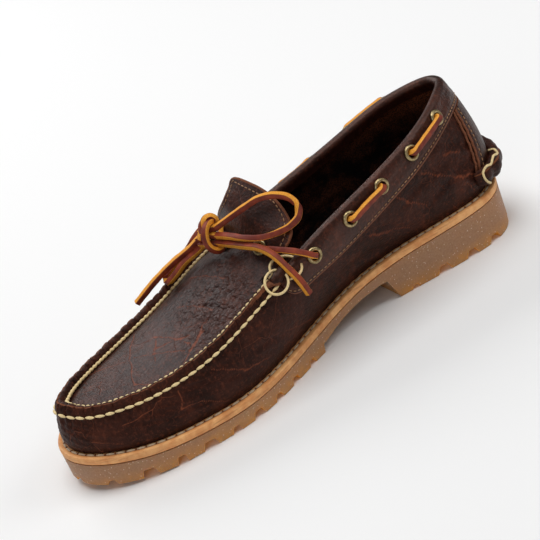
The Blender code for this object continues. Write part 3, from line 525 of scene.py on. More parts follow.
SKINS = 3               # a laid sheet may show its outside, its inside and its cut edge
WALL_STEPS = (640, 46)  # faces of each sheet, along and across
PLUG_STEPS = (280, 100)
STRAP_STEPS = (150, 70)


def laid_grid(name, steps, at, outward, paint=None):
    """A grid primitive laid on at(u, v), u and v from 0 to 1, its faces turned the way outward(u, v) points.

    paint(u, v) may give named values for the surface, which materials read.
    """
    deselect()
    bpy.ops.mesh.primitive_grid_add(x_subdivisions=steps[0], y_subdivisions=steps[1], size=2.0)
    piece = bpy.context.object
    mesh = piece.data
    piece.name = mesh.name = name
    u, v = (read_vertices(mesh, "co")[:, 0:2].T + 1.0) / 2.0
    mesh.vertices.foreach_set("co", place(at(u, v)).ravel())
    mesh.update()
    if (read_vertices(mesh, "normal") * turn(outward(u, v))).sum() < 0:
        mesh.flip_normals()
    for mark, values in (paint(u, v) if paint else {}).items():
        mesh.attributes.new(mark, "FLOAT", "POINT").data.foreach_set("value", np.asarray(values, float))
    weld(piece)
    for _ in range(SKINS):
        mesh.materials.append(None)
    return piece


def tube_mesh(name, rings, closed=False):
    """Skin over equal rings of shoe-frame points, capped at its ends, with u along it and v round it."""
    rings = np.asarray(rings, float)
    count, size = rings.shape[:2]
    faces = []
    layout = []
    spans = count if closed else count - 1
    for r in range(spans):
        q = (r + 1) % count
        for c in range(size):
            d = (c + 1) % size
            faces.append((r * size + c, r * size + d, q * size + d, q * size + c))
            layout += [(r / spans, c / size), (r / spans, (c + 1) / size),
                       ((r + 1) / spans, (c + 1) / size), ((r + 1) / spans, c / size)]
    if not closed:
        faces.append(tuple(reversed(range(size))))
        faces.append(tuple((count - 1) * size + c for c in range(size)))
        layout += [(0.0, 0.5)] * size + [(1.0, 0.5)] * size
    piece = new_piece(name, place(rings.reshape(-1, 3)), faces)
    piece.data.uv_layers.new(name="UVMap").data.foreach_set("uv", np.array(layout, float).ravel())
    face_outwards(piece)
    return piece


SMALL_SHADE = 80.0      # degrees: threads and thin tubes are smooth all over


def stitches(name, centres, alongs, ups, size):
    """One mesh of thread beads, each turned along its row and sized (long, wide, high)."""
    deselect()
    thread_bead()
    bead = bpy.context.object
    shape = read_vertices(bead.data, "co")
    faces = [tuple(p.vertices) for p in bead.data.polygons]
    bpy.data.objects.remove(bead)
    alongs = unit(np.asarray(alongs, float))
    ups = unit(ups - alongs * (alongs * ups).sum(-1, keepdims=True))
    sides = np.cross(alongs, ups)
    size = np.broadcast_to(np.asarray(size, float), (len(centres), 3))
    points = np.asarray(centres)[:, None]
    for axis, ways in enumerate((alongs, sides, ups)):
        points = points + ways[:, None] * shape[None, :, axis:axis + 1] * size[:, None, axis:axis + 1]
    count = len(shape)
    every = [tuple(i * count + k for k in face) for i in range(len(centres)) for face in faces]
    piece = new_piece(name, place(points.reshape(-1, 3)), every)
    face_outwards(piece)
    shade(piece, SMALL_SHADE)
    return piece


def thread_bead():
    """A plump stitch, one unit long each way from its middle."""
    bpy.ops.mesh.primitive_uv_sphere_add(segments=10, ring_count=8, radius=1.0)
    bead = bpy.context.object
    for corner in bead.data.vertices:
        reach = max(1.0 - corner.co.x ** 2, 0.0)
        fullness = (0.22 + 0.78 * reach) / max(math.sqrt(reach), 0.30) if reach > 0.0 else 1.0
        corner.co.y *= fullness
        corner.co.z *= fullness


def round_tube(name, path, radius, sides=8, closed=False):
    """Thread or cord of round section along a path; radius may vary along it."""
    path = np.asarray(path, float)
    radius = np.broadcast_to(np.asarray(radius, float), (len(path),))
    ways = np.roll(path, -1, axis=0) - np.roll(path, 1, axis=0) if closed else np.gradient(path, axis=0)
    along = unit(ways)
    side = unit(np.cross(along[0], (0.31, 0.52, 0.79)))
    rings = []
    for p, a, r in zip(path, along, radius):
        side = unit(side - a * np.dot(side, a))
        other = np.cross(a, side)
        rings.append([p + (side * math.cos(w) + other * math.sin(w)) * r
                      for w in round_angles(sides)])
    piece = tube_mesh(name, rings, closed)
    shade(piece, SMALL_SHADE)
    return piece


FINE_STEPS = 400        # round a closed route, before its even points are found


def even_path(points, spacing):
    """Evenly spaced points on a smooth curve through a route's own points."""
    points = np.array(points, float)
    run = running_length(points)
    count = int(round(run[-1] / spacing)) + 1
    return line_spline(run, points)(np.linspace(0.0, run[-1], max(count, 4)))


def even_ring(points, spacing):
    """The same for a closed route."""
    fine = ring_spline(points)(np.linspace(0.0, len(points), FINE_STEPS))
    run = running_length(fine)
    count = max(int(round(run[-1] / spacing)), 8)
    return interp_points(np.linspace(0.0, run[-1], count, endpoint=False), run, fine)


# ---- shader helpers ----
def math_node(operation, swapped=False):
    """A method that joins a wire and a value, or another wire, in a Math node."""
    def method(self, other):
        pair = (other, self) if swapped else (self, other)
        return self.graph.add("ShaderNodeMath", {"operation": operation}, dict(enumerate(pair)))[0]
    return method


class Wire:
    """A node's output that takes part in Python expressions, each of which adds a Math node."""

    def __init__(self, graph, socket):
        self.graph = graph
        self.socket = socket

    __add__ = math_node("ADD")
    __radd__ = math_node("ADD", swapped=True)
    __sub__ = math_node("SUBTRACT")
    __rsub__ = math_node("SUBTRACT", swapped=True)
    __mul__ = math_node("MULTIPLY")
    __rmul__ = math_node("MULTIPLY", swapped=True)

    def rise(self, low, high):
        """0 below low, 1 above high, soft between."""
        return self.graph.add("ShaderNodeMapRange", {"interpolation_type": "SMOOTHSTEP"},
                              {"Value": self, "From Min": low, "From Max": high})["Result"]

    def band(self, low, high, soft):
        """1 between low and high."""
        return self.rise(low - soft, low) * (1 - self.rise(high, high + soft))


class Made:
    """The outputs of a node that was just added, by name or number."""

    def __init__(self, graph, node):
        self.graph = graph
        self.node = node

    def __getitem__(self, key):
        return Wire(self.graph, self.node.outputs[key])


class Graph:
    """A material's nodes."""

    def __init__(self, name):
        self.material = bpy.data.materials.new(name)
        self.material.use_nodes = True
        self.tree = self.material.node_tree
        self.shader = self.tree.nodes["Principled BSDF"]

    def feed(self, socket, value):
        """Links a wire to a socket, or sets its value; a colour may be named, and gets its alpha."""
        if isinstance(value, str):
            value = tint(value)
        if isinstance(value, Wire):
            self.tree.links.new(value.socket, socket)
        else:
            socket.default_value = (*value, 1.0) if socket.type == "RGBA" else value

    def add(self, kind, settings=None, inputs=None):
        """A node of any kind, with its settings set first and then its sockets fed."""
        node = self.tree.nodes.new(kind)
        for key, value in (settings or {}).items():
            setattr(node, key, value)
        for key, value in (inputs or {}).items():
            self.feed(node.inputs[key], value)
        return Made(self, node)

    def place(self):
        """Position on the object, in metres."""
        return self.add("ShaderNodeTexCoord")["Object"]

    def height(self):
        """Height over the floor, in metres."""
        return self.add("ShaderNodeSeparateXYZ", {}, {"Vector": self.place()})["Z"]

    def stretched(self, scale):
        """Object position scaled differently along X, Y and Z."""
        return self.add("ShaderNodeMapping", {}, {"Vector": self.place(), "Scale": scale})["Vector"]

    def painted(self, name):
        """A value painted on the piece's own points."""
        return self.add("ShaderNodeAttribute", {"attribute_name": name, "attribute_type": "GEOMETRY"})["Fac"]

    def chart(self):
        """The piece's own u (along) and v (across)."""
        split = self.add("ShaderNodeSeparateXYZ", {}, {"Vector": self.add("ShaderNodeTexCoord")["UV"]})
        return split["X"], split["Y"]

    def noise(self, size_mm, detail=3.0, roughness=0.55, where=None):
        return self.add("ShaderNodeTexNoise", {}, {
            "Vector": where or self.place(), "Scale": 1000.0 / size_mm, "Detail": detail,
            "Roughness": roughness})["Fac"]

    def cells(self, size_mm, feature="F1", where=None):
        return self.add("ShaderNodeTexVoronoi", {"feature": feature},
                        {"Vector": where or self.place(), "Scale": 1000.0 / size_mm})["Distance"]

    def bent(self, size_mm, amount_mm):
        """Object position pushed about by noise, so that a pattern's lines wander."""
        wander = self.add("ShaderNodeTexNoise", {}, {
            "Vector": self.place(), "Scale": 1000.0 / size_mm, "Detail": 3.0})["Color"]
        centred = self.add("ShaderNodeVectorMath", {"operation": "SUBTRACT"},
                           {0: wander, 1: (0.5, 0.5, 0.5)})["Vector"]
        pushed = self.add("ShaderNodeVectorMath", {"operation": "SCALE"},
                          {0: centred, "Scale": amount_mm * MM * 2})["Vector"]
        return self.add("ShaderNodeVectorMath", {"operation": "ADD"}, {0: self.place(), 1: pushed})["Vector"]

    def mix(self, share, first, second):
        """Colour between two colours."""
        return self.add("ShaderNodeMix", {"data_type": "RGBA", "clamp_factor": True},
                        {0: share, 6: first, 7: second})[2]

    def set(self, **inputs):
        """Values or wires for the surface; Base_Color stands for Base Color."""
        for key, value in inputs.items():
            self.feed(self.shader.inputs[key.replace("_", " ")], value)

    def bump(self, height, strength, distance_mm):
        normal = self.add("ShaderNodeBump", {}, {"Height": height, "Strength": strength,
                                                 "Distance": distance_mm * MM})["Normal"]
        self.set(Normal=normal)


def tint(name):
    """One of the shoe's colours."""
    return tuple(getattr(bpy.context.scene.shoe_colours, name))


def oiled_leather(name, gloss=0.0, raw_band=None, veins=1.0, sheen=0.17, glint=(1.0, 0.72, 0.62)):
    """Dark oiled leather with pebbled grain, fine rust scratches and worn creases.

    The painted values "worn" and "folded" give rust in the creases and deep pebbling.
    raw_band is the share of the way round the piece where its leather is left raw.
    """
    g = Graph(name)
    worn = g.painted("worn")
    folded = g.painted("folded")
    wandering = g.bent(9.0, 3.0)
    rippled = g.bent(3.0, 1.3)
    pebble = g.cells(1.5, "SMOOTH_F1", rippled)
    lump = g.cells(3.6, "F1", g.bent(4.0, 2.6))
    pore = g.noise(0.5, 3.0, 0.65)
    swell = g.noise(6.5, 3.0, 0.55)
    cloud = g.noise(24.0, 5.0, 0.62)
    fleck = g.noise(2.0, 6.0, 0.75)
    streak = g.noise(9.0, 5.0, 0.7, g.stretched((1.0, 1.0, 0.35)))
    wide_lines = g.cells(26.0, "DISTANCE_TO_EDGE", g.bent(30.0, 9.0))
    fine_lines = g.cells(8.0, "DISTANCE_TO_EDGE", wandering)
    where = g.noise(26.0, 4.0, 0.6).rise(0.47, 0.60)
    near = g.noise(13.0, 4.0, 0.6).rise(0.50, 0.68)
    vein = (1 - wide_lines.rise(0.0, 0.010)) * where * veins
    scratch = (1 - fine_lines.rise(0.0, 0.022)) * near * veins
    rubbed = worn.rise(0.45, 0.95) * (fleck.rise(0.34, 0.54) * 0.65 + 0.35)
    colour = g.mix(cloud.rise(0.34, 0.66), "leather_dark", "leather_brown")
    colour = g.mix(streak.rise(0.50, 0.72) * 0.40, colour, "leather_rust")
    colour = g.mix(fleck.rise(0.50, 0.66) * 0.50, colour, "leather_rust")
    colour = g.mix(pebble.rise(0.25, 0.62) * 0.30, colour, "leather_dark")
    colour = g.mix(scratch * 0.38, colour, "leather_rust")
    colour = g.mix(vein * 0.42, colour, "leather_vein")
    colour = g.mix(rubbed * 0.70, colour, "leather_vein")
    roughness = 0.40 - gloss + fleck * 0.12 + pebble * 0.10 + rubbed * 0.15
    height = (pore * 0.20 - pebble * (folded * 0.45 + 0.40) + swell * 0.40 - vein * 0.35 - scratch * 0.25
              - rubbed * 0.25 - folded * lump * 2.4)
    if raw_band:
        along, across = g.chart()
        throat = along.rise(0.91, 0.95) + (1 - along.rise(0.05, 0.10))
        raw = across.band(*raw_band, 0.004)
        if raw_band == RIDGE_EDGE:
            raw = raw + (across.band(0.27, 0.37, 0.01) + across.band(0.50, 0.60, 0.01)) * throat
        fibre = g.noise(0.5, 4.0, 0.7)
        colour = g.mix(raw, colour, g.mix(fibre, "raw_edge_dark", "raw_edge"))
        roughness = roughness + raw * 0.3
    g.set(Base_Color=colour, Roughness=roughness, Specular_IOR_Level=sheen, Specular_Tint=glint,
          Coat_Weight=0.02)
    g.bump(height, 0.9, 0.60)
    return g.material


def inner_suede(name):
    """Flesh side of the leather inside the shoe: dark, with rubbed brown nap."""
    g = Graph(name)
    nap = g.noise(0.9, 6.0, 0.8)
    rubbed = g.noise(11.0, 5.0, 0.7)
    # Brown nap shows more towards the top edge: partly the nap's own colour, partly painted light where light
    # reaches into the shoe; lower down the lining keeps its painted shade.
    high = g.height().rise(0.062, 0.084)
    colour = g.mix((rubbed.rise(0.40, 0.66) * 0.25 + high * 0.75) * nap.rise(0.38, 0.62),
                   "lining_in_shade", "lining_nap")
    g.set(Base_Color=colour, Roughness=0.95, Specular_IOR_Level=0.15)
    g.bump(nap, 0.9, 0.6)
    return g.material


def raw_leather(name):
    """Cut edge of the upper leather: rust-brown fibre."""
    g = Graph(name)
    fibre = g.noise(0.45, 5.0, 0.7)
    colour = g.mix(fibre.rise(0.3, 0.7), "raw_edge_dark", "raw_edge")
    g.set(Base_Color=colour, Roughness=0.8, Specular_IOR_Level=0.3)
    g.bump(fibre, 0.6, 0.25)
    return g.material


def lace_leather(name):
    """Square-cut lace: two red-brown faces, two ochre cut edges with a fibrous grain along them."""
    g = Graph(name)
    around = g.chart()[1]
    fibre = g.add("ShaderNodeTexNoise", {}, {"Vector": g.place(), "Scale": 1400.0, "Detail": 4.0})["Fac"]
    patches = g.noise(7.0, 3.0)
    edge = around.band(0.26, 0.49, 0.006) + around.band(0.76, 0.99, 0.006)
    face = g.mix(patches.rise(0.35, 0.7), "lace_face_dark", "lace_face")
    cut = g.mix(fibre.rise(0.35, 0.75), "lace_edge", "lace_edge_light")
    rim = around.band(0.22, 0.26, 0.01) + around.band(0.49, 0.53, 0.01)
    colour = g.mix(edge, face, cut)
    colour = g.mix(rim.rise(0.0, 1.0) * 0.25, colour, "lace_face_dark")
    g.set(Base_Color=colour, Roughness=0.52 + edge * 0.15, Specular_IOR_Level=0.28)
    g.bump(fibre * 0.6 + patches * 0.4, 0.35, 0.15)
    return g.material


WAVE_TURN = 6.28        # a wave texture's scale counts its bands in these


def waxed_thread(name, colour_name, pitch_mm=0.55):
    """Twisted waxed thread."""
    g = Graph(name)
    twist = g.add("ShaderNodeTexWave", {"wave_type": "BANDS", "bands_direction": "DIAGONAL"}, {
        "Vector": g.place(), "Scale": 1000.0 / pitch_mm / WAVE_TURN, "Distortion": 1.5, "Detail": 1.0})["Fac"]
    soil = g.noise(4.0, 3.0).rise(0.4, 0.75)
    base = tint(colour_name)
    darker = tuple(c * 0.62 for c in base)
    colour = g.mix(soil * 0.5 + twist * 0.25, base, darker)
    g.set(Base_Color=colour, Roughness=0.55, Specular_IOR_Level=0.4)
    g.bump(twist, 0.5, 0.15)
    return g.material


def brass(name):
    """Antique brass, darker in its hollows."""
    g = Graph(name)
    tarnish = g.noise(1.6, 4.0, 0.6)
    colour = g.mix(tarnish.rise(0.3, 0.75), "brass", "brass_dark")
    g.set(Base_Color=colour, Metallic=1.0, Roughness=0.26 + tarnish * 0.2)
    g.bump(tarnish, 0.12, 0.1)
    return g.material


def tan_leather(name):
    """Vegetable-tanned midsole: orange-tan, with layered, burnished edge and fine lines along it."""
    g = Graph(name)
    layers = g.noise(2.4, 4.0, 0.6, g.stretched((0.12, 0.12, 1.6)))
    mottled = g.noise(6.0, 4.0, 0.6)
    pores = g.noise(0.7, 3.0)
    stain = g.noise(22.0, 3.0).rise(0.45, 0.7)
    colour = g.mix(mottled.rise(0.3, 0.7), "midsole", "midsole_light")
    colour = g.mix(layers.rise(0.5, 0.75) * 0.5, colour, "midsole_dark")
    colour = g.mix(stain * 0.25, colour, "midsole_dark")
    g.set(Base_Color=colour, Roughness=0.5 + pores * 0.2, Specular_IOR_Level=0.4)
    g.bump(pores * 0.4 + layers * 0.6, 0.3, 0.2)
    return g.material


def gum_rubber(name, glowing=0.0):
    """Smoky translucent gum rubber with pale sparkle and an amber glow in thin places."""
    g = Graph(name)
    smoke = g.noise(26.0, 3.0)
    grit = g.noise(0.45, 2.0, 0.6)
    speck = g.cells(1.9).rise(0.05, 0.22)
    # Painted glow: amber towards the floor, partly the rubber's own tone and partly light shining through the
    # thin lugs.
    amber = 1 - g.height().rise(0.001, 0.011)
    colour = g.mix(smoke.rise(0.35, 0.7), "gum", "gum_smoke")
    glow = g.noise(5.0, 4.0, 0.6).rise(0.42, 0.66)
    rough = g.noise(1.2, 5.0, 0.75)
    colour = g.mix(rough.rise(0.40, 0.62) * 0.40, colour, "gum_dark")
    colour = g.mix(glowing + amber * (0.45 + glow * 0.4) * (1 - glowing), colour, "gum_amber_glow")
    colour = g.mix((1 - speck) * 0.75, colour, "gum_speck")
    g.set(Base_Color=colour, Roughness=0.40 + grit * 0.22, Specular_IOR_Level=0.45,
          Subsurface_Weight=0.35, Subsurface_Scale=0.006, Subsurface_Radius=(1.0, 0.45, 0.15))
    # Painted glow: the gap faces emit a little light in their own colour, for light shining through the thin
    # rubber.
    if glowing:
        g.set(Emission_Color=colour, Emission_Strength=0.14)
    g.bump(grit * 0.5 + rough, 0.55, 0.35)
    return g.material


def floor_paint(name):
    """Plain matt white."""
    g = Graph(name)
    g.set(Base_Color=(0.9, 0.9, 0.9), Roughness=0.9, Specular_IOR_Level=0.1)
    return g.material


RIDGE_EDGE = (0.36, 0.43)   # share of the way round the seam's ridge where its leather's cut edge shows
FINISHES = {
    "leather": lambda: oiled_leather("oiled leather"),
    "plug leather": lambda: oiled_leather("oiled leather plug", 0.05, sheen=0.32, glint=(1.0, 0.86, 0.84)),
    "collar leather": lambda: oiled_leather("oiled leather collar", 0.08, veins=0.25, sheen=0.26),
    "collar band leather": lambda: oiled_leather("oiled leather collar band", 0.12, (0.0, 0.016), 0.15, 0.48,
                                                 (1.0, 0.66, 0.56)),
    "ridge leather": lambda: oiled_leather("oiled leather seam ridge", 0.0, RIDGE_EDGE, 0.4),
    "roll leather": lambda: oiled_leather("oiled leather roll", 0.0, (0.095, 0.125), 0.4),
    "suede": lambda: inner_suede("inner suede"),
    "raw edge": lambda: raw_leather("raw leather edge"),
    "lace": lambda: lace_leather("square lace"),
    "cream thread": lambda: waxed_thread("cream waxed thread", "thread_cream"),
    "tan thread": lambda: waxed_thread("tan thread", "thread_tan", 0.4),
    "grey thread": lambda: waxed_thread("grey lockstitch thread", "thread_grey", 0.5),
    "brass": lambda: brass("antique brass"),
    "midsole": lambda: tan_leather("tan midsole leather"),
    "rubber": lambda: gum_rubber("gum rubber sole"),
    # Faces in the gaps between the lugs: nearly all amber, with painted glow that emits a little light.
    "gap rubber": lambda: gum_rubber("gum rubber gap", 0.85),
    "floor": lambda: floor_paint("floor"),
}
made_finishes = {}


def finish(name):
    """The finish of that name, made once."""
    if name not in made_finishes:
        made_finishes[name] = FINISHES[name]()
    return made_finishes[name]


# ---- sizes and colours that a user may change ----
def hue(name, description, value):
    return bpy.props.FloatVectorProperty(name=name, description=description, subtype="COLOR", size=3,
                                         min=0.0, max=1.0, default=value)


def measure(name, description, value):
    return bpy.props.FloatProperty(name=name, description=description, default=value, min=0.0)


class ShoeColours(bpy.types.PropertyGroup):
    """Colours of the shoe's materials."""
    leather_dark: hue("Leather, dark", "Darker patches of leather", (0.0125, 0.0034, 0.0022))
    leather_brown: hue("Leather, brown", "Lighter patches of leather", (0.042, 0.0112, 0.0066))
    leather_rust: hue("Leather, rust", "Veins and scratches", (0.150, 0.038, 0.018))
    leather_vein: hue("Leather, vein", "Worn creases and veins", (0.24, 0.062, 0.028))
    raw_edge: hue("Raw edge", "Cut edges of the upper leather", (0.26, 0.085, 0.035))
    raw_edge_dark: hue("Raw edge, dark", "Cut edges in their darker fibres", (0.08, 0.028, 0.014))
    # Lining colours: the near black one is the lining with painted shade for the inside of the shoe; the nap
    # shows towards the top, partly as painted light.
    lining_in_shade: hue("Lining, dark", "Inside of the shoe", (0.0030, 0.0014, 0.0012))
    lining_nap: hue("Lining, nap", "Rubbed nap inside the collar", (0.40, 0.115, 0.045))
    lace_face: hue("Lace face", "Dyed faces of the lace", (0.30, 0.050, 0.019))
    lace_face_dark: hue("Lace face, dark", "Shaded faces of the lace", (0.15, 0.024, 0.014))
    lace_edge: hue("Lace edge", "Cut edges of the lace", (0.70, 0.270, 0.020))
    lace_edge_light: hue("Lace edge, light", "Lit edges of the lace", (0.88, 0.42, 0.060))
    thread_cream: hue("Cream thread", "Hand-sewn thread", (0.90, 0.69, 0.35))
    thread_tan: hue("Tan thread", "Machine stitches", (0.36, 0.19, 0.09))
    thread_grey: hue("Grey thread", "Lockstitch of the midsole", (0.50, 0.37, 0.24))
    brass: hue("Brass", "Eyelets", (0.50, 0.39, 0.20))
    brass_dark: hue("Brass, dark", "Tarnish of the eyelets", (0.20, 0.145, 0.07))
    midsole: hue("Midsole", "Tan leather of the midsole", (0.70, 0.285, 0.090))
    midsole_light: hue("Midsole, light", "Midsole in its lighter patches", (0.90, 0.48, 0.19))
    midsole_dark: hue("Midsole, dark", "Burnished lines of the midsole", (0.34, 0.10, 0.024))
    gum: hue("Gum rubber", "Rubber of the sole", (0.42, 0.205, 0.094))
    gum_smoke: hue("Gum rubber, smoky", "Cloudy patches of the rubber", (0.38, 0.205, 0.108))
    # Amber of the thin lugs: partly the rubber's own tone, partly painted glow of light shining through them.
    gum_amber_glow: hue("Gum rubber, amber", "Thin rubber of the lugs", (0.62, 0.265, 0.042))
    gum_dark: hue("Gum rubber, dark", "Dark mottling of the rubber", (0.25, 0.115, 0.048))
    gum_speck: hue("Gum rubber, speck", "Sparkle in the rubber", (0.90, 0.78, 0.62))


class ShoeSizes(bpy.types.PropertyGroup):
    """Sizes of the shoe's fine work, in millimetres."""
    seam_pitch: measure("Seam pitch", "Length of one hand-sewn stitch, mm", 5.25)
    seam_thread: measure("Seam thread", "Thickness of the hand-sewn thread, mm", 1.5)
    machine_pitch: measure("Machine pitch", "Length of one machine stitch, mm", 2.9)
    welt_pitch: measure("Welt pitch", "Length of one midsole stitch, mm", 5.6)
    pucker: measure("Pucker", "Depth of the gathers under the seam, mm", 0.35)
    crease_share: measure("Creases", "Strength of the hand-placed creases, as a share", 1.5)


def sizes():
    return bpy.context.scene.shoe_sizes


# ---- creases, listed one by one ----
PLUG_CREASES = (         # s and x of both ends, depth and width
    (178.0, -30.0, 170.0, 31.0, 0.9, 3.2), (186.0, -6.0, 174.0, 30.0, 0.75, 2.2),
    (190.0, -24.0, 181.0, 12.0, 0.5, 2.0), (195.0, 2.0, 182.0, 32.0, 0.7, 2.2),
    (199.0, -18.0, 190.0, 14.0, 0.45, 1.8), (203.0, 8.0, 190.0, 33.0, 0.65, 2.0),
    (207.0, -10.0, 197.0, 20.0, 0.45, 1.8), (211.0, 10.0, 199.0, 34.0, 0.6, 1.9),
    (216.0, 2.0, 207.0, 30.0, 0.4, 1.7), (221.0, 12.0, 212.0, 33.0, 0.35, 1.6),
    (228.0, -8.0, 216.0, 28.0, 0.45, 2.4), (184.0, 14.0, 193.0, 26.0, 0.4, 1.4),
    (198.0, 12.0, 206.0, 24.0, 0.35, 1.4), (243.0, -20.0, 232.0, 8.0, 0.25, 2.6),
    (196.0, -33.0, 186.0, -20.0, 0.5, 1.8), (206.0, -34.0, 197.0, -22.0, 0.4, 1.7),
)
WORN_CREASES = PLUG_CREASES[2:14:4]
PLUG_WEAR = (            # worn rust lines: s and x of both ends
    (268.0, -19.0, 245.6, -4.2), (245.6, -4.2, 231.0, -27.0), (244.0, -5.0, 220.0, 26.2),
    (245.6, -4.2, 255.0, 20.0), (220.0, 26.2, 207.0, 24.0), (233.0, 3.5, 214.0, 19.0),
    (255.0, 19.0, 246.0, 31.0), (206.0, 20.0, 230.0, 31.0), (226.0, -6.0, 238.0, 14.0),
)
WALL_CREASES = (         # t and v of both ends, depth and width
    (10.2, 0.50, 12.3, 0.62, 0.55, 2.4), (11.0, 0.30, 12.9, 0.44, 0.5, 2.2),
    (11.15, 0.72, 12.85, 0.27, 0.8, 2.2), (10.20, 0.79, 11.20, 0.32, 0.5, 2.0),
    (9.45, 0.56, 10.70, 0.19, 0.45, 2.0), (11.90, 0.70, 13.20, 0.48, 0.6, 1.8),
    (11.6, 0.80, 12.8, 0.62, 0.5, 1.6), (12.5, 0.40, 13.9, 0.36, 0.6, 1.6),
    (12.9, 0.54, 13.9, 0.46, 0.5, 1.4), (12.2, 0.24, 13.7, 0.20, 0.45, 1.8),
    (11.9, 0.48, 13.0, 0.30, 0.35, 1.6), (8.2, 0.30, 10.0, 0.22, 0.4, 2.6),
    (8.9, 0.58, 10.4, 0.40, 0.35, 2.4), (5.6, 0.62, 6.9, 0.34, 0.4, 2.4),
    (4.6, 0.58, 5.7, 0.30, 0.35, 2.2), (3.3, 0.46, 4.5, 0.36, 0.3, 2.0),
    (17.2, 0.55, 19.0, 0.62, 0.5, 2.2), (17.0, 0.34, 18.6, 0.40, 0.5, 1.8),
    (19.5, 0.42, 21.4, 0.34, 0.45, 2.4), (22.6, 0.60, 23.9, 0.34, 0.45, 2.4),
    (24.6, 0.62, 25.7, 0.36, 0.4, 2.2), (26.3, 0.50, 27.4, 0.40, 0.3, 2.0),
)
WALL_WEAR = (            # worn rust lines: t and v of both ends
    (11.15, 0.690, 11.60, 0.535), (11.58, 0.545, 12.15, 0.395), (12.10, 0.405, 12.80, 0.250),
    (11.95, 0.660, 12.55, 0.545), (10.25, 0.760, 10.65, 0.520), (10.60, 0.535, 11.15, 0.310),
    (9.50, 0.530, 9.98, 0.365), (9.95, 0.380, 10.65, 0.180), (12.20, 0.380, 12.60, 0.100),
    (3.60, 0.900, 3.50, 0.520), (3.45, 0.545, 4.05, 0.455), (4.00, 0.465, 4.65, 0.130),
    (4.50, 0.880, 5.40, 0.430), (1.80, 0.660, 2.85, 0.800), (5.00, 0.500, 6.10, 0.300),
    (6.60, 0.450, 7.60, 0.150), (1.00, 0.450, 1.90, 0.250),
    (17.00, 0.480, 18.90, 0.420), (20.20, 0.300, 21.90, 0.220), (24.20, 0.560, 25.40, 0.340),
    (26.40, 0.520, 27.60, 0.340), (18.20, 0.600, 19.10, 0.380),
)
WALL_STRIDE = 23.5      # millimetres in one row of the last
WALL_RISE = 46.0        # millimetres from the wall's foot to its top
FOLD_PITCH = 4.7        # of the folds under the gathers
TUCK_DEPTH = 0.16       # of the tucks at the wall's foot
SWELL_DEPTH = 0.16      # of the wall's slow waves


def crease_relief(a, b, table, bend=1.0, jag=0.0, fade=0.35):
    """Soft troughs with a low ridge beside each, for points given by two coordinates in millimetres."""
    relief = np.zeros_like(a)
    for a0, b0, a1, b1, depth, width in table:
        length = math.hypot(a1 - a0, b1 - b0)
        da, db = (a1 - a0) / length, (b1 - b0) / length
        run = ((a - a0) * da + (b - b0) * db) / length
        bow = bend * 0.10 * length * np.sin(np.clip(run, 0.0, 1.0) * math.pi * 1.4)
        bow = bow + jag * (1.2 * np.sin(a * 0.31 + b * 0.22) + 0.6 * np.sin(a * 0.67 - b * 0.51))
        aside = ((a - a0) * db - (b - b0) * da) + bow * 0.5
        ends = smooth(-0.05, fade - 0.05, run) * (1.0 - smooth(1.05 - fade, 1.05, run))
        trough = hump(aside, 0.0, width)
        ridge = hump(aside, 1.7 * width, 1.1 * width)
        relief += depth * ends * (0.55 * ridge - trough)
    return relief


def worn_lines(a, b, table, width):
    """1 along the worn lines of a table, fading to 0 beside them."""
    table = [(*row[:4], 1.0, width) for row in table]
    return np.clip(-crease_relief(a, b, table, 0.2, 0.8, 0.12), 0.0, 1.0)


def on_wall(table):
    """Rows given by t and v, in millimetres round and up the wall."""
    return [(t0 * WALL_STRIDE, v0 * WALL_RISE, t1 * WALL_STRIDE, v1 * WALL_RISE, *rest)
            for t0, v0, t1, v1, *rest in table]


def wander(a, b, seed):
    """Slow irregular waves between about -1 and 1."""
    return (np.sin(0.31 * a + 0.83 * b + seed) * 0.5 + np.sin(0.93 * a - 0.41 * b + 2.1 * seed) * 0.3
            + np.sin(0.17 * a * b / 9.0 + 3.3 * seed) * 0.2)


# ---- the seam's length ----
SEAM_STEPS = 1800
SEAM_T = np.linspace(INNER_THROAT_ROW + 0.25, OUTER_THROAT_ROW - ROWS - 0.1, SEAM_STEPS)
SEAM_LINE = seam_point(SEAM_T, np.full(len(SEAM_T), 0.5), 0.0)
SEAM_RUN = running_length(SEAM_LINE)
SEAM_LENGTH = SEAM_RUN[-1]


def from_toe(t):
    """Rows from the toe, negative on the outer side."""
    return np.where(t > ROWS / 2, t - ROWS, t)


def seam_distance(t):
    """Millimetres along the seam from its inner throat end, for t on the front part."""
    return np.interp(-from_toe(np.asarray(t, float) % ROWS), -SEAM_T, SEAM_RUN)


def seam_row(distance):
    return np.interp(distance, SEAM_RUN, SEAM_T)


def front_share(t):
    """1 where the seam runs, 0 behind the throat."""
    t = np.asarray(t, float) % ROWS
    return np.maximum(1.0 - smooth(6.6, 7.2, t), smooth(22.8, 23.4, t))


def wall_relief(t, v):
    """Gathers under the seam, tucks at the foot and creases."""
    run = seam_distance(t)
    pitch = sizes().seam_pitch
    pucker = sizes().pucker
    front = front_share(t)
    gathers = np.cos(2 * math.pi * run / pitch) * smooth(0.70, 0.97, v)
    folds = np.sin(2 * math.pi * run / FOLD_PITCH + 2.0 * np.sin(run / 11.0))
    folds = folds * smooth(0.45, 0.85, v) * (1 - smooth(0.9, 1.0, v))
    toe = hump(from_toe(t), 0.3, 3.4)
    relief = pucker * front * (gathers + folds * (0.10 + 0.45 * toe))
    tucks = np.cos(2 * math.pi * t * WALL_STRIDE / sizes().welt_pitch) * (1 - smooth(0.0, 0.12, v))
    relief = relief + TUCK_DEPTH * tucks
    relief = relief + SWELL_DEPTH * wander(t * WALL_STRIDE, v * WALL_RISE, 1.7) * smooth(0.05, 0.2, v)
    creases = crease_relief(np.asarray(t, float) % ROWS * WALL_STRIDE, v * WALL_RISE, on_wall(WALL_CREASES))
    return relief + creases * sizes().crease_share * (1 - smooth(0.88, 0.97, v))


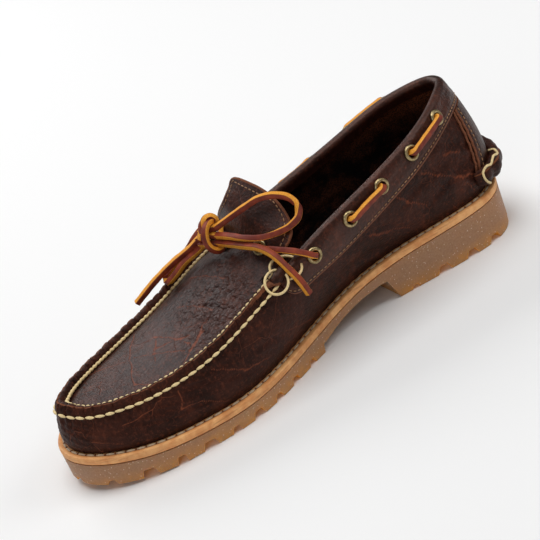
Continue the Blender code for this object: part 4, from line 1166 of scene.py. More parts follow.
# ---- pieces ----
def make_wall():
    """Upper's wall with its lining: a ring from the midsole up to the seam and the collar."""
    def at(u, v):
        return wall(u * ROWS, v, wall_relief(u * ROWS, v))

    def outward(u, v):
        return wall_normal(u * ROWS, v)

    def paint(u, v):
        t = u * ROWS
        worn = worn_lines(t * WALL_STRIDE, v * WALL_RISE, on_wall(WALL_WEAR), 0.95)
        quarter = (hump(t, 12.6, 1.3) + hump(t, 17.6, 1.3)) * hump(v, 0.42, 0.24)
        waist = hump(t, 10.2, 1.2) * hump(v, 0.25, 0.2)
        return {"worn": worn, "folded": 0.10 + 0.55 * quarter + 0.3 * waist}
    piece = laid_grid("upper_wall", WALL_STEPS, at, outward, paint)
    thicken(piece, LEATHER - 0.2, 1, 0)
    finish_piece(piece, ["leather", "suede"], ("upper",), angle=60.0)


RIDGE = (               # share of the seam's width and height, round the ridge, with two raw edges at its top
    (-0.06, -0.8), (-0.03, 0.2), (0.02, 1.3), (0.08, 2.4), (0.15, 3.4), (0.25, 4.2),
    (0.36, 4.8), (0.44, 5.1), (0.50, 4.75), (0.56, 5.0), (0.66, 4.8), (0.76, 4.3),
    (0.85, 3.5), (0.93, 2.3), (0.98, 1.2), (1.02, 0.2), (1.04, -0.9), (0.50, -1.0),
)
RIDGE_STEP = 0.55       # millimetres between its sections


def ridge_height(run):
    """The ridge fades at its throat ends."""
    return 0.35 + 0.65 * smooth(0.0, 10.0, run) * (1.0 - smooth(SEAM_LENGTH - 26.0, SEAM_LENGTH - 4.0, run))


def ridge_spread(run):
    """The ridge lies wider round the toe and along the outer side."""
    share = run / SEAM_LENGTH
    return 1.0 + 0.42 * smooth(0.40, 0.51, share) * (1 - smooth(0.90, 0.99, share))


def ridge_ring(run):
    """Section of the ridge at a distance along the seam, drawn in where a stitch goes round it."""
    drawn = math.exp(-(math.cos(math.pi * (run / sizes().seam_pitch - 0.4)) / 0.24) ** 2)
    crinkle = 0.5 * math.sin(run * 2.9 + math.sin(run * 0.7) * 2.0) + 0.5 * math.sin(run * 4.7 + 1.0)
    uneven = 1.0 + 0.05 * math.sin(run * 0.37) + 0.035 * math.sin(run * 0.91 + 1.0) + 0.012 * crinkle
    t, spread, rise = seam_row(run), ridge_spread(run), ridge_height(run)
    ring = []
    for share, height in RIDGE:
        high = height * rise * (uneven - 0.06 * drawn) if height > 0 else height
        body = max(min(height / 2.5, 1.0), 0.0)
        pull = (0.145 * drawn - 0.035 + 0.02 * crinkle) * body
        wide = share + pull if share < 0.45 else share - pull * 0.7
        ring.append(seam_point(t, wide * spread, high))
    return ring


def make_ridge():
    """Raised hand-sewn seam."""
    piece = tube_mesh("upper_seam", [ridge_ring(run) for run in np.arange(0.0, SEAM_LENGTH, RIDGE_STEP)])
    finish_piece(piece, ["ridge leather"], ("upper",), angle=75.0)


PLUG_END_STEP = 15 / 16
PLUG_END = 0.60         # where along the leather the plug starts to turn into the tongue
TONGUE_START = 0.66     # and where it is the tongue


def plug_and_tongue(u, w):
    """One leather from the toe (u = 0) up to the tongue's tip (u = 1); w goes across from the inner side."""
    u, w = both_arrays(u, w)
    front = plug_point(np.clip(u / PLUG_END, 0.0, 1.0) * PLUG_END_STEP, w)
    run = TONGUE_JOIN * (1.0 - np.clip((u - TONGUE_START) / (1.0 - TONGUE_START), 0.0, 1.0))
    back = tongue_point(run, (1.0 - 2.0 * w) * tongue_half_width(run, 0.5 - w))
    blend = smooth(PLUG_END, TONGUE_START, u)[..., None]
    return front * (1 - blend) + back * blend


def plug_relief(point, u):
    """Creases, pebbled folds before the throat and the bend at the lace."""
    s, x = point[..., 0], point[..., 1]
    creases = crease_relief(s, x, PLUG_CREASES) * sizes().crease_share * 0.40
    folded = smooth(166.0, 180.0, s) * (1 - smooth(212.0, 236.0, s)) * smooth(-26.0, 4.0, x)
    pebbles = 0.08 * folded * wander(s * 2.3 + x * 1.2, x * 1.5 - s * 0.5, 0.6)
    pebbles = pebbles + 0.08 * wander(s * 0.6, x * 0.7, 4.2)
    pebbles = pebbles + 0.35 * hump(u, 0.755, 0.02) * np.sin(x * 0.33 + 0.8)
    return (creases + pebbles) * smooth(0.0, 0.03, u) * (1 - smooth(0.93, 1.0, u))


def make_plug():
    """Plug and tongue, one piece of leather."""
    def at(u, v):
        point = plug_and_tongue(u, v)
        near = 0.004
        ahead = plug_and_tongue(np.minimum(u + near, 1.0), v)
        along = ahead - plug_and_tongue(np.maximum(u - near, 0.002), v)
        over = plug_and_tongue(u, np.minimum(v + near, 1.0)) - plug_and_tongue(u, np.maximum(v - near, 0.0))
        normal = unit(np.cross(over, along))
        normal = normal * np.where((normal * outward(u, v)).sum(-1, keepdims=True) < 0, -1.0, 1.0)
        edge = smooth(0.0, 0.05, v) * (1 - smooth(0.95, 1.0, v))
        tuck = -0.5 * (1 - edge) * (1 - smooth(PLUG_END, TONGUE_START, u))
        return point + normal * (plug_relief(point, u) * edge + tuck)[..., None]

    def outward(u, v):
        forward = smooth(0.62, 0.80, u)
        return np.stack([0.15 + 0.75 * forward, np.zeros_like(u), 1.0 - 0.5 * forward], -1)

    def paint(u, v):
        point = plug_and_tongue(u, v)
        s, x = point[..., 0], point[..., 1]
        worn = worn_lines(s, x, WORN_CREASES + PLUG_WEAR, 0.85) * (1 - smooth(TONGUE_START, 0.72, u))
        folded = smooth(168.0, 177.0, s) * (1 - smooth(200.0, 232.0, s)) * smooth(-24.0, 2.0, x)
        return {"worn": worn, "folded": 0.03 + 0.97 * folded * (1 - smooth(TONGUE_START, 0.74, u))}
    piece = laid_grid("upper_plug", PLUG_STEPS, at, outward, paint)
    thicken(piece, LEATHER + 0.1, 1, 2)
    finish_piece(piece, ["plug leather", "suede", "raw edge"], ("upper", "tongue"), angle=60.0)


OUTER_POINTS = 18       # in a collar section: down its outside, over the top edge, down its inside
OVER_POINTS = 11
INNER_POINTS = 6
EDGE_HEIGHT = 1.2       # of the rounding at its lower edge, and its depth
EDGE_ROUND = 0.5
COLLAR_STATIONS = 330   # sections along it, and in each of its front corners
CORNER_STATIONS = 14


def collar_ring(t, inner_skin=False):
    """Section through the collar: a skin from its lower edge up and over, then down inside."""
    offset = GAP if inner_skin else GAP + BAND
    depths = np.linspace(collar_depth(t), 0.0, OUTER_POINTS)
    outs = np.full(OUTER_POINTS, offset)
    if not inner_skin:
        up_from_edge = collar_depth(t) - depths
        near_edge = np.clip(up_from_edge / EDGE_HEIGHT, 0.0, 1.0)
        outs = outs - EDGE_ROUND * (1 - np.sqrt(1 - (1 - near_edge) ** 2))
        outs = outs + 0.18 * wander(t * WALL_STRIDE * 0.5, depths * 0.9, 5.1) * smooth(1.0, 5.0, up_from_edge)
        outs = outs - 0.35 * hump(up_from_edge, COLLAR_STITCH_INSET, 0.9)
    skin = list(wall(np.full(OUTER_POINTS, t), wall_height_v(t, depths), outs))
    middle = wall(t, 1.0, -LEATHER / 2)
    out = wall_normal(t, 1.0)
    up = unit(wall_base(t, 1.0) - wall_base(t, 0.98))
    radius = LEATHER / 2 + offset
    for a in np.linspace(0.0, math.pi, OVER_POINTS)[1:-1]:
        skin.append(middle + out * radius * math.cos(a) + up * radius * math.sin(a))
    inner_v = wall_height_v(t, np.linspace(0.0, COLLAR_INSIDE, INNER_POINTS))
    skin += list(wall(np.full(INNER_POINTS, t), inner_v, np.full(INNER_POINTS, -LEATHER - offset)))
    return skin


def make_collar():
    """Leather band folded over the top edge, with holes for its eyelets."""
    corner = np.linspace(0.0, COLLAR_CORNER_ROWS, CORNER_STATIONS)
    stations = np.concatenate([
        COLLAR_START + corner[:-1],
        np.linspace(COLLAR_START + COLLAR_CORNER_ROWS, COLLAR_END - COLLAR_CORNER_ROWS, COLLAR_STATIONS),
        COLLAR_END - corner[:-1][::-1]])
    rings = [collar_ring(t) + collar_ring(t, True)[::-1] for t in stations]
    piece = tube_mesh("collar_leather", rings)
    holes = []
    for name, centre, normal, _ in eyelet_seats():
        if "throat" in name:
            continue
        deselect()
        bpy.ops.mesh.primitive_cylinder_add(vertices=32, radius=HOLE_RADIUS * MM, depth=HOLE_LENGTH * MM)
        hole = bpy.context.object
        direction = Vector(turn(normal))
        hole.rotation_mode = "QUATERNION"
        hole.rotation_quaternion = direction.to_track_quat("Z", "Y")
        hole.location = Vector(place(centre)) + direction * HOLE_OUT * MM
        holes.append(hole)
    cut(piece, joined(holes))
    finish_piece(piece, ["collar band leather"], ("collar",), angle=60.0)


COLLAR_EYELETS = ((140.5, 4.3), (112.0, 4.9), (86.8, 4.4), (61.0, 4.2), (34.7, 4.4))
THROAT_EYELETS = ((30.5, 17.0), (36.5, -11.5))
EYELET_FLANGE = 4.7
EYELET_RIM = 1.3
HOLE_RADIUS = 2.9       # of the collar's holes for them
HOLE_LENGTH = 9.0
HOLE_OUT = 3.0          # from the leather's skin to the middle of a hole's cutter
SEARCH_STEPS = 401      # along the top edge, to find where it passes an eyelet


def rim_row(s, side):
    """Row where the top edge passes s, on the inner (1) or outer (-1) side."""
    t = np.linspace(HEEL_ROW, INNER_THROAT_ROW if side > 0 else OUTER_THROAT_ROW, SEARCH_STEPS)
    return float(np.interp(s, top_point(t)[:, 0], t))


def flange_lift(at, u, w, centre, normal, spread):
    """Height that keeps an eyelet's flange clear of the leather curving round it."""
    rise = 0.0
    for a in round_angles(16):
        near = at(u + spread[0] * math.cos(a), w + spread[1] * math.sin(a))
        rise = max(rise, float(np.dot(near - centre, normal)))
    return rise + GAP


def eyelet_seats():
    """Name, centre on the surface, outward normal and the flange's lift, for every eyelet."""
    seats = []

    def band_surface(t, v):
        return wall(t, v, GAP + BAND)

    for side, label in ((1, "inner"), (-1, "outer")):
        for number, (s, depth) in enumerate(COLLAR_EYELETS, 1):
            t = rim_row(s, side)
            v = float(wall_height_v(t, depth))
            centre = band_surface(t, v)
            normal = wall_normal(t, v)
            along = band_surface(t + 0.05, v) - band_surface(t - 0.05, v)
            upward = band_surface(t, v + 0.01) - band_surface(t, v - 0.01)
            spread = (EYELET_FLANGE * 0.1 / np.linalg.norm(along),
                      EYELET_FLANGE * 0.02 / np.linalg.norm(upward))
            lift = flange_lift(band_surface, t, v, centre, normal, spread)
            seats.append((f"eyelet_{label}_{number}", centre, normal, lift))
    for (run, x), label in zip(THROAT_EYELETS, ("inner", "outer")):
        centre = tongue_point(run, x)
        normal = unit(tongue_point(run, x, 1.0) - centre)
        lift = flange_lift(tongue_point, run, x, centre, normal, (EYELET_FLANGE, EYELET_FLANGE))
        seats.append((f"eyelet_throat_{label}", centre, normal, lift))
    return seats


EYELET_PROFILE = (      # radius, height over the seat
    (2.55, -1.4), (2.55, 0.2), (2.65, 0.75), (2.95, 1.15), (3.4, 1.32), (3.9, 1.25), (4.4, 0.95),
    (4.72, 0.45), (4.7, 0.0), (4.4, -0.35), (3.1, -0.4), (3.0, -1.4),
)


EYELET_STEPS = 40       # of its spin


def make_eyelets():
    """Rolled brass eyelets, each turned from its profile by a spin."""
    points = [(radius * MM, 0.0, height * MM) for radius, height in EYELET_PROFILE]
    edges = [(i, (i + 1) % len(points)) for i in range(len(points))]
    for name, centre, normal, lift in eyelet_seats():
        piece = new_piece(name + "_ring", points, [], edges)
        edit_all(piece, bpy.ops.mesh.spin, steps=EYELET_STEPS, angle=2 * math.pi,
                 center=(0, 0, 0), axis=(0, 0, 1))
        weld(piece)
        face_outwards(piece)
        seat = Vector(turn(normal)).to_track_quat("Z", "Y").to_matrix().to_4x4()
        seat.translation = Vector(place(centre + normal * lift))
        piece.data.transform(seat)
        finish_piece(piece, ["brass"], (name,), angle=70.0)


# ---- lace ----
LACE_BEND = 2.6         # radius of the lace's turn out of an eyelet
BEND_STEPS = 8
LACE_FOOT = 1.2         # how far inside the eyelet it starts
LACE_SIDE = ((-1.0, -0.86), (-1.02, -0.3), (-1.02, 0.3), (-1.0, 0.86))      # one of its four, side and up
SECTION = (*LACE_SIDE, *((-y, -x) for x, y in reversed(LACE_SIDE)), *((-x, -y) for x, y in LACE_SIDE),
           *((y, x) for x, y in reversed(LACE_SIDE)))


def square_lace(name, path, edge_ways):
    """Square lace along a path; edge_ways point out of an ochre cut edge, evenly from start to end."""
    path = np.asarray(path, float)
    ways = np.atleast_2d(np.asarray(edge_ways, float))
    where = np.linspace(0.0, len(ways) - 1.0, len(path))
    up = interp_points(where, np.arange(len(ways)), ways)
    along = unit(np.gradient(path, axis=0))
    up = unit(up - along * (along * up).sum(-1, keepdims=True))
    side = np.cross(along, up)
    rings = []
    for i, centre in enumerate(path):
        firm = LACE / 2 * (1.0 + 0.025 * math.sin(i * 0.9) + 0.02 * math.sin(i * 0.37 + 2.0))
        rings.append([centre + side[i] * firm * x + up[i] * firm * y for x, y in SECTION])
    piece = tube_mesh(name, rings)
    shade(piece, 55.0)
    return piece


def eyelet_turn(seat, target):
    """The lace's way out of an eyelet and over its flange, towards another point."""
    _, centre, normal, lift = seat
    way = target - centre
    way = unit(way - normal * np.dot(way, normal))
    height = lift + EYELET_RIM + GAP + LACE / 2
    path = [centre - normal * LACE_FOOT]
    for a in np.linspace(0.0, math.pi / 2, BEND_STEPS):
        rise = height - LACE_BEND * (1.0 - math.sin(a))
        path.append(centre + normal * rise + way * LACE_BEND * (1.0 - math.cos(a)))
    return path, way


BARS = (                # side, first eyelet, last eyelet, which way an ochre edge faces
    ("inner", "2", "3", (0.75, 0.05, 0.75)),
    ("inner", "4", "5", (0.75, 0.05, 0.75)),
    ("outer", "2", "3", (0.75, -0.05, 0.75)),
    ("outer", "4", "5", (0.75, -0.05, 0.75)),
    ("inner", "1", "throat", (0.55, 0.35, -0.75)),
    ("outer", "1", "throat", (0.55, -0.35, -0.75)),
)
FRONT_RISE = np.array([0.0, 0.0, 3.0])      # the front bars leave the collar's eyelet upwards
FRONT_REACH = 9.0


def make_bars():
    """Stretches of lace between eyelets."""
    seats = {seat[0]: seat for seat in eyelet_seats()}
    for side, first_name, last_name, edge_way in BARS:
        first = seats[f"eyelet_{side}_{first_name}"]
        if last_name == "throat":
            last = seats[f"eyelet_throat_{side}"]
            node = f"lace_{side}_front"
            lifts = (FRONT_RISE, FRONT_RISE * 0.3)
            reach = FRONT_REACH
        else:
            last = seats[f"eyelet_{side}_{last_name}"]
            node = f"lace_{side}_{first_name}_{last_name}"
            lifts = (-first[2], -last[2])
            reach = np.linalg.norm(last[1] - first[1]) / 3
        start, start_way = eyelet_turn(first, last[1])
        end, end_way = eyelet_turn(last, first[1])
        middle = bezier(start[-1], start[-1] + start_way * reach + lifts[0],
                        end[-1] + end_way * reach + lifts[1], end[-1], np.linspace(0.0, 1.0, 22)[1:-1, None])
        piece = square_lace(node + "_leather", start + list(middle) + end[::-1], edge_way)
        finish_piece(piece, ["lace"], (node,))


KNOT_CENTRE = (174.2, -11.4, 78.8)
BOW_INNER_LOOP = (
    (168.7, -5.5, 84.1), (160.9, 1.0, 88.3), (153.1, 8.7, 92.9), (146.1, 16.4, 96.6),
    (139.2, 21.7, 95.6), (134.6, 26.8, 92.4), (133.4, 30.4, 87.2), (136.1, 31.9, 82.9),
    (141.6, 30.9, 80.2), (149.2, 28.9, 79.6), (157.3, 25.5, 80.3), (163.5, 16.6, 80.8),
    (167.1, 6.1, 81.0), (170.3, -4.4, 80.2),
)
BOW_INNER_END = (
    (171.6, -6.0, 76.0), (168.5, 5.0, 76.4), (165.2, 17.3, 77.0), (161.8, 28.3, 76.7),
    (159.7, 35.5, 73.8), (157.6, 43.2, 66.0), (155.5, 47.3, 58.0), (153.8, 49.0, 48.8),
)
BOW_OUTER_END = (
    (176.0, -18.2, 77.1), (180.2, -22.8, 73.0), (190.8, -30.6, 66.8), (202.6, -37.6, 59.5),
    (216.9, -44.0, 49.8),
)
BOW_OUTER_LOOP = (
    (174.9, -16.7, 73.6), (179.5, -20.6, 69.8), (187.6, -24.8, 65.7), (194.6, -27.6, 60.7),
    (198.6, -30.9, 57.6), (198.0, -35.2, 57.6), (192.6, -36.6, 60.0), (186.6, -35.6, 62.9),
    (180.9, -33.2, 66.6), (176.3, -30.0, 71.4), (172.8, -26.0, 76.3), (170.6, -20.6, 80.6),
)
CORD_SPACING = 1.3      # and between those of the loops and ends
# Right, up and towards someone who looks at the knot from in front, for its wraps and ties.
LOOK_RIGHT = np.array([-0.784, 0.532, -0.319])
LOOK_UP = np.array([-0.527, -0.301, 0.794])
LOOK_BACK = np.array([0.327, 0.791, 0.517])
STRANDS = (             # node, route, ways of an ochre edge from start to end (right, up, towards), far end
    ("lace_loop_inner", BOW_INNER_LOOP,
     ((-0.55, 0.75, 0.45), (-0.55, 0.75, 0.45), (-0.55, 0.75, 0.45), (-0.5, 0.75, 0.45), (-0.5, 0.8, 0.4),
      (-0.3, 0.85, 0.3), (-0.1, 0.9, -0.1), (0.0, 0.85, -0.6), (0.0, 0.8, -0.7)), "knot"),
    ("lace_end_inner", BOW_INNER_END, ((-0.2, -0.85, 0.5), (-0.5, -0.65, 0.55), (-0.6, -0.5, 0.6)), "bare"),
    ("lace_end_outer", BOW_OUTER_END, ((-0.50, 0.60, 0.75),), "bare"),
    ("lace_loop_outer", BOW_OUTER_LOOP, ((0.70, -0.40, 0.55),), "knot"),
)
KNOT_WRAPS = (          # wraps and hidden strands: points from the knot's centre, ways of an ochre edge
    ("lace_knot_front",
     ((5.0, 9.0, 0.5), (3.2, 9.2, 4.0), (1.5, 7.6, 6.6), (0.4, 5.0, 7.8), (0.1, 2.4, 8.2),
      (0.5, -1.2, 7.8), (1.9, -4.6, 6.8), (4.4, -6.7, 5.2), (7.4, -6.9, 2.6), (9.2, -5.2, -0.5)),
     ((0.5, -0.5, 0.6), (0.85, 0.1, 0.5), (0.85, 0.2, 0.5), (0.7, 0.6, 0.5), (0.1, 0.9, 0.5))),
    ("lace_knot_top",
     ((0.4, -0.6, 1.0), (-1.2, 1.9, 3.0), (-2.0, 5.0, 4.6), (-1.6, 8.0, 5.2), (0.0, 10.4, 5.0),
      (2.6, 11.5, 4.4), (5.2, 10.4, 3.4), (6.3, 7.9, 1.8), (5.2, 5.0, -0.5)),
     ((0.75, 0.0, 0.65), (0.65, 0.2, 0.7), (0.15, 0.65, 0.75), (-0.25, 0.70, 0.65), (-0.3, 0.2, 0.9))),
    ("lace_knot_core_top",
     ((-3.4, 3.4, -2.0), (-1.0, 4.2, 0.5), (2.4, 5.0, 3.0), (5.6, 5.8, 5.0)), ((-0.55, 0.75, 0.45),)),
    ("lace_knot_core_side",
     ((-2.6, -0.8, 1.0), (-2.4, 2.0, 2.2), (-0.6, 4.4, 2.8), (2.0, 7.0, 3.0)), ((-0.5, 0.5, 0.7),)),
    ("lace_knot_core_mid",
     ((-5.0, -0.6, -3.0), (-1.0, 0.9, 0.5), (3.0, 1.4, 2.8), (7.4, 1.0, 4.6)), ((-0.60, 0.70, 0.45),)),
    ("lace_knot_core_low",
     ((-3.6, -3.0, -5.5), (0.0, -3.2, -1.5), (3.5, -3.6, 0.8), (7.2, -4.2, 2.0)), ((-0.2, -0.85, 0.5),)),
)
WRAP_SPACING = 1.0      # millimetres between a wrap's sections


def look_way(right, up, back):
    return LOOK_RIGHT * right + LOOK_UP * up + LOOK_BACK * back


def make_bow():
    """Knot, loops and ends of the bow."""
    for name, route, edge_ways in KNOT_WRAPS:
        points = [np.array(KNOT_CENTRE) + look_way(*p) for p in route]
        piece = square_lace(name, even_path(points, WRAP_SPACING), [look_way(*way) for way in edge_ways])
        finish_piece(piece, ["lace"], ("lace_knot",))
    for node, route, edge_ways, far_end in STRANDS:
        path = even_path(route, CORD_SPACING)
        piece = square_lace(node + "_leather", path, [look_way(*way) for way in edge_ways])
        finish_piece(piece, ["lace"], (node,))
        line = place(path)


# ---- hand-sewn threads ----
def seam_frame(runs, share, height):
    """Centre, direction along and direction up for stitches at distances along the seam."""
    t = seam_row(runs)
    centre = seam_point(t, np.full(len(t), share), height)
    ahead = seam_point(seam_row(runs + 0.6), np.full(len(t), share), height)
    behind = seam_point(seam_row(runs - 0.6), np.full(len(t), share), height)
    return centre, unit(ahead - behind), -plan_normal(top_point, t)


def in_space(directions):
    """Directions in plan, with no rise."""
    return np.concatenate([directions, np.zeros((len(directions), 1))], -1)


def sew_seam_outside():
    """Hand-sewn stitches outside the ridge."""
    pitch = sizes().seam_pitch
    thick = sizes().seam_thread / 2
    runs = np.arange(pitch * 1.4, SEAM_LENGTH - pitch, pitch)
    centre, along, inward = seam_frame(runs, -0.07, 0.75)
    outward = -in_space(inward)
    lengths = pitch * 0.53 + 0.12 * np.sin(runs * 1.7)
    plump = thick * (1.16 + 0.08 * np.sin(runs * 2.9))
    piece = stitches("seam_stitches_outer", centre + outward * 0.25, along + UP * 0.10,
                     outward * 0.8 + UP * 0.6, np.stack([lengths, plump, plump * 1.05], -1))
    finish_piece(piece, ["cream thread"])


def sew_seam_inside():
    """Hand-sewn stitches inside the ridge: they lean on the inner side and lie flat on the outer."""
    short = sizes().seam_pitch * 0.62
    runs = np.arange(sizes().seam_pitch, SEAM_LENGTH - sizes().seam_pitch * 0.6, short)
    far = smooth(0.42, 0.515, runs / SEAM_LENGTH)[:, None]
    near_line = seam_frame(runs, 0.88, 3.85)
    far_line = seam_frame(runs, 1.06 * 1.42, 1.2)
    centre = near_line[0] * (1 - far) + far_line[0] * far
    along = unit(near_line[1] * (1 - far) + far_line[1] * far)
    inward = in_space(near_line[2])
    lean = along + inward * (0.30 - 0.12 * far) - UP * 0.28 * (1 - 0.7 * far)
    lengths = short * (0.44 + 0.14 * far[:, 0]) + 0.10 * np.sin(runs * 2.3)
    plump = 0.70 + 0.34 * far[:, 0]
    piece = stitches("seam_stitches_inner", centre, lean, inward * 0.6 + UP * 0.8,
                     np.stack([lengths, plump, plump], -1))
    finish_piece(piece, ["cream thread"])


THREAD_SPACING = 0.7    # millimetres between a thread's sections
TIE_WAVE = 0.9          # how far a tie's turn leaves its plane
TIE_POINTS = 14
THROAT_TIES = (         # name, centre, half width and half height as looked at, turns' lean away
    ("inner_front", (165.9, 41.8, 61.6), 6.3, 6.6, 0.25),
    ("inner_rear", (156.4, 38.2, 64.0), 8.6, 6.4, 0.45),
    ("outer_front", (165.9, -40.8, 61.4), 6.3, 6.6, 0.25),
    ("outer_rear", (156.4, -36.8, 63.4), 8.6, 6.4, 0.45),
)
THROAT_BUNDLES = (      # name, route, radius, finish
    ("inner_tab", ((168.2, 39.8, 60.8), (165.0, 40.2, 62.4), (160.8, 39.8, 63.8), (156.6, 38.6, 65.2)),
     3.1, "collar leather"),
    ("inner_edge", ((174.6, 38.8, 60.3), (170.6, 39.6, 61.5), (167.0, 41.2, 61.4), (164.2, 42.4, 59.6)),
     1.5, "raw edge"),
    ("outer_tab", ((168.2, -38.8, 60.6), (165.0, -39.0, 62.2), (160.8, -38.4, 63.4), (156.6, -37.2, 64.6)),
     3.1, "collar leather"),
    ("outer_edge", ((174.6, -37.8, 60.1), (170.6, -38.6, 61.3), (167.0, -40.2, 61.2), (164.2, -41.4, 59.4)),
     1.5, "raw edge"),
)


def make_throat_ties():
    """Ends of the hand-sewn seam: a gathered tab of leather bound by turns of thread."""
    for name, route, thickness, leather in THROAT_BUNDLES:
        path = even_path(route, THREAD_SPACING)
        share = np.linspace(0.0, 1.0, len(path))
        radius = thickness * np.sqrt(np.clip(1.0 - np.abs(2 * share - 1.0) ** 5, 0.03, 1.0))
        piece = round_tube(f"throat_{name}", path, radius * (1 + 0.05 * np.sin(share * 19)), 16)
        finish_piece(piece, [leather])
    for name, centre, wide, tall, lean in THROAT_TIES:
        side = 1.0 if centre[1] > 0 else -1.0
        points = []
        for a in round_angles(TIE_POINTS):
            x, y = wide * math.cos(a), tall * math.sin(a)
            step = look_way(x, y, -lean * y + TIE_WAVE * math.cos(2 * a))
            points.append((centre[0] + step[0], centre[1] + step[1] * side, centre[2] + step[2]))
        path = even_ring(points, THREAD_SPACING)
        piece = round_tube(f"throat_tie_{name}", path, sizes().seam_thread * 0.49, closed=True)
        finish_piece(piece, ["cream thread"])


# ---- machine stitches ----
MACHINE_THREAD = 0.36   # half its thickness


def machine_row(name, centre, along, up):
    """A row of machine stitches."""
    bead = (sizes().machine_pitch * 0.37, MACHINE_THREAD, MACHINE_THREAD - 0.02)
    finish_piece(stitches(name, centre, along, up, bead), ["tan thread"])


LINE_STEPS = 1200       # along the collar, to space its stitches evenly


def sew_collar():
    """Machine stitches along the collar's lower edge."""
    out = GAP + BAND - 0.08
    t = np.linspace(COLLAR_START + 0.06, COLLAR_END - 0.06, LINE_STEPS)
    height = np.array([wall_height_v(x, collar_depth(x) - COLLAR_STITCH_INSET) for x in t])
    run = running_length(wall(t, height, out))
    pitch = sizes().machine_pitch
    where = np.interp(np.arange(pitch / 2, run[-1], pitch), run, t)

    def at(rows):
        return wall(rows, np.interp(rows, t, height), out)
    machine_row("collar_stitches", at(where), unit(at(where + 0.01) - at(where - 0.01)),
                wall_normal(where, np.interp(where, t, height)))


STRAP_INSET_ROWS = 0.15


def strap_row(side, v):
    """Row of the stitches just inside the strap's edge."""
    return HEEL_ROW + side * (strap_half(v) - STRAP_INSET_ROWS)


def sew_strap():
    """Machine stitches up both edges of the heel strap."""
    for name, side in SIDES:
        v = np.linspace(STRAP_FOOT + 0.01, STRAP_HEAD - 0.02, 200)
        run = running_length(wall(strap_row(side, v), v, GAP + BAND + 0.02))
        level = np.interp(np.arange(1.0, run[-1], sizes().machine_pitch), run, v)
        centre = wall(strap_row(side, level), level, GAP + BAND - 0.05)
        ahead = wall(strap_row(side, level + 0.01), level + 0.01, GAP + BAND - 0.05)
        machine_row(f"heel_strap_stitches_{name}", centre, unit(ahead - centre),
                    wall_normal(strap_row(side, level), level))


def sew_tongue():
    """Machine stitches up one edge of the tongue, across its tip and down the other."""
    steps, inset, tip, lift = 200, 2.4, 3.0, 0.04
    down = np.linspace(TONGUE_JOIN - 8.0, tip, steps)
    run = np.concatenate([down, np.full(steps, tip), down[::-1]])
    inner = np.maximum(tongue_half_width(run) - inset, 0.0)
    outer = np.maximum(tongue_half_width(run, -1.0) - inset, 0.0)
    over = np.linspace(inner[steps], -outer[steps], steps)
    across = np.concatenate([inner[:steps], over, -outer[2 * steps:]])
    line = tongue_point(run, across, lift)
    length = running_length(line)
    where = np.arange(1.0, length[-1], sizes().machine_pitch)
    runs = np.interp(where, length, run)
    xs = np.interp(where, length, across)
    along = unit(interp_points(where + 0.4, length, line) - interp_points(where - 0.4, length, line))
    up = unit(tongue_point(runs, xs, 1.0) - tongue_point(runs, xs))
    machine_row("tongue_stitches", tongue_point(runs, xs, lift), along, up)


def edge_tongue():
    """Raw cut edge round the tongue's tip."""
    tip = TONGUE_TIP_LENGTH * (1.0 - np.cos(np.linspace(0.0, math.pi / 2, 40)))
    run = np.concatenate([tip, np.linspace(TONGUE_TIP_LENGTH, 34.0, 60)[1:]])
    outer = tongue_point(run, -tongue_half_width(run, -1.0), -0.9)
    inner = tongue_point(run, tongue_half_width(run), -0.9)
    piece = round_tube("tongue_cut_edge", even_path(np.concatenate([outer[::-1], inner[1:]]), 0.8), 0.95)
    finish_piece(piece, ["raw edge"])


# ---- heel ----
SIDES = (("inner", -1), ("outer", 1))       # which way the rows run from the heel
STRAP_FOOT = 0.28       # how far up the wall the strap starts and ends
STRAP_HEAD = float(wall_height_v(HEEL_ROW, collar_depth(HEEL_ROW) + 2 * GAP))
ROLL_V = 0.195          # how far up the wall the roll lies
ROLL_THICKNESS = 8.0
ROLL_PROUD = 1.4        # how far the gathered leather stands out past the solid
ROLL_HEIGHT = 14.0
ROLL_HALF = 2.38        # rows to each side of the heel
ROLL_PLEATS = 9.0
PLEAT_DEPTH = 0.42
ROLL_SIDES = 44
ROLL_STATIONS = 220
ROLL_THREAD = (         # rows from the heel, angle round the roll
    (1.30, 2.1), (1.37, 1.40), (1.50, 0.95), (1.70, 1.25), (1.90, 0.90), (2.08, 1.10), (2.22, 0.70),
    (2.25, 0.1), (2.20, -0.5), (2.08, -1.1), (1.98, -2.0),
)


def strap_half(v):
    """Half the strap's width in rows: widest at the roll."""
    return 2.10 - 0.27 * (v - 0.34) / 0.43      # 2.10 rows at v = 0.34, 1.83 at v = 0.77


def roll_point(offset, a, lift=0.0):
    """Skin of the gathered roll: rows from the heel, angle round it from straight out towards its top."""
    share = offset / ROLL_HALF
    fade = math.sqrt(max(1.0 - abs(share) ** 4.0, 0.001))
    level = ROLL_V + 0.035 * share ** 2
    pleat = math.cos(share * math.pi * ROLL_PLEATS + 0.6) * PLEAT_DEPTH * fade
    waist = 1.0 - 0.16 * hump(abs(share), 0.80, 0.05)
    groove = 0.7 * hump(a, 0.72, 0.15) + 0.5 * hump(a, 5.7, 0.2)
    swell = (pleat - groove) * max(math.cos(a), 0.0) ** 0.5 + lift
    half = (ROLL_THICKNESS + ROLL_PROUD) / 2 * fade * waist
    tall = ROLL_HEIGHT / 2 * (0.55 + 0.45 * fade) * waist
    t = HEEL_ROW + offset
    middle = wall(t, level, GAP * 1.5 + half * 0.98)
    out = wall_normal(t, level) * (half + swell) * math.cos(a)
    up = unit(wall_base(t, level + 0.02) - wall_base(t, level - 0.02))
    return middle + out + up * (tall + swell * 0.5) * math.sin(a)


STRAP_EDGES = (         # layer, millimetres beyond the strap, height over the wall
    (1, 0.2, GAP + BAND - 0.5),
    (2, 1.5, GAP + 0.2),
)


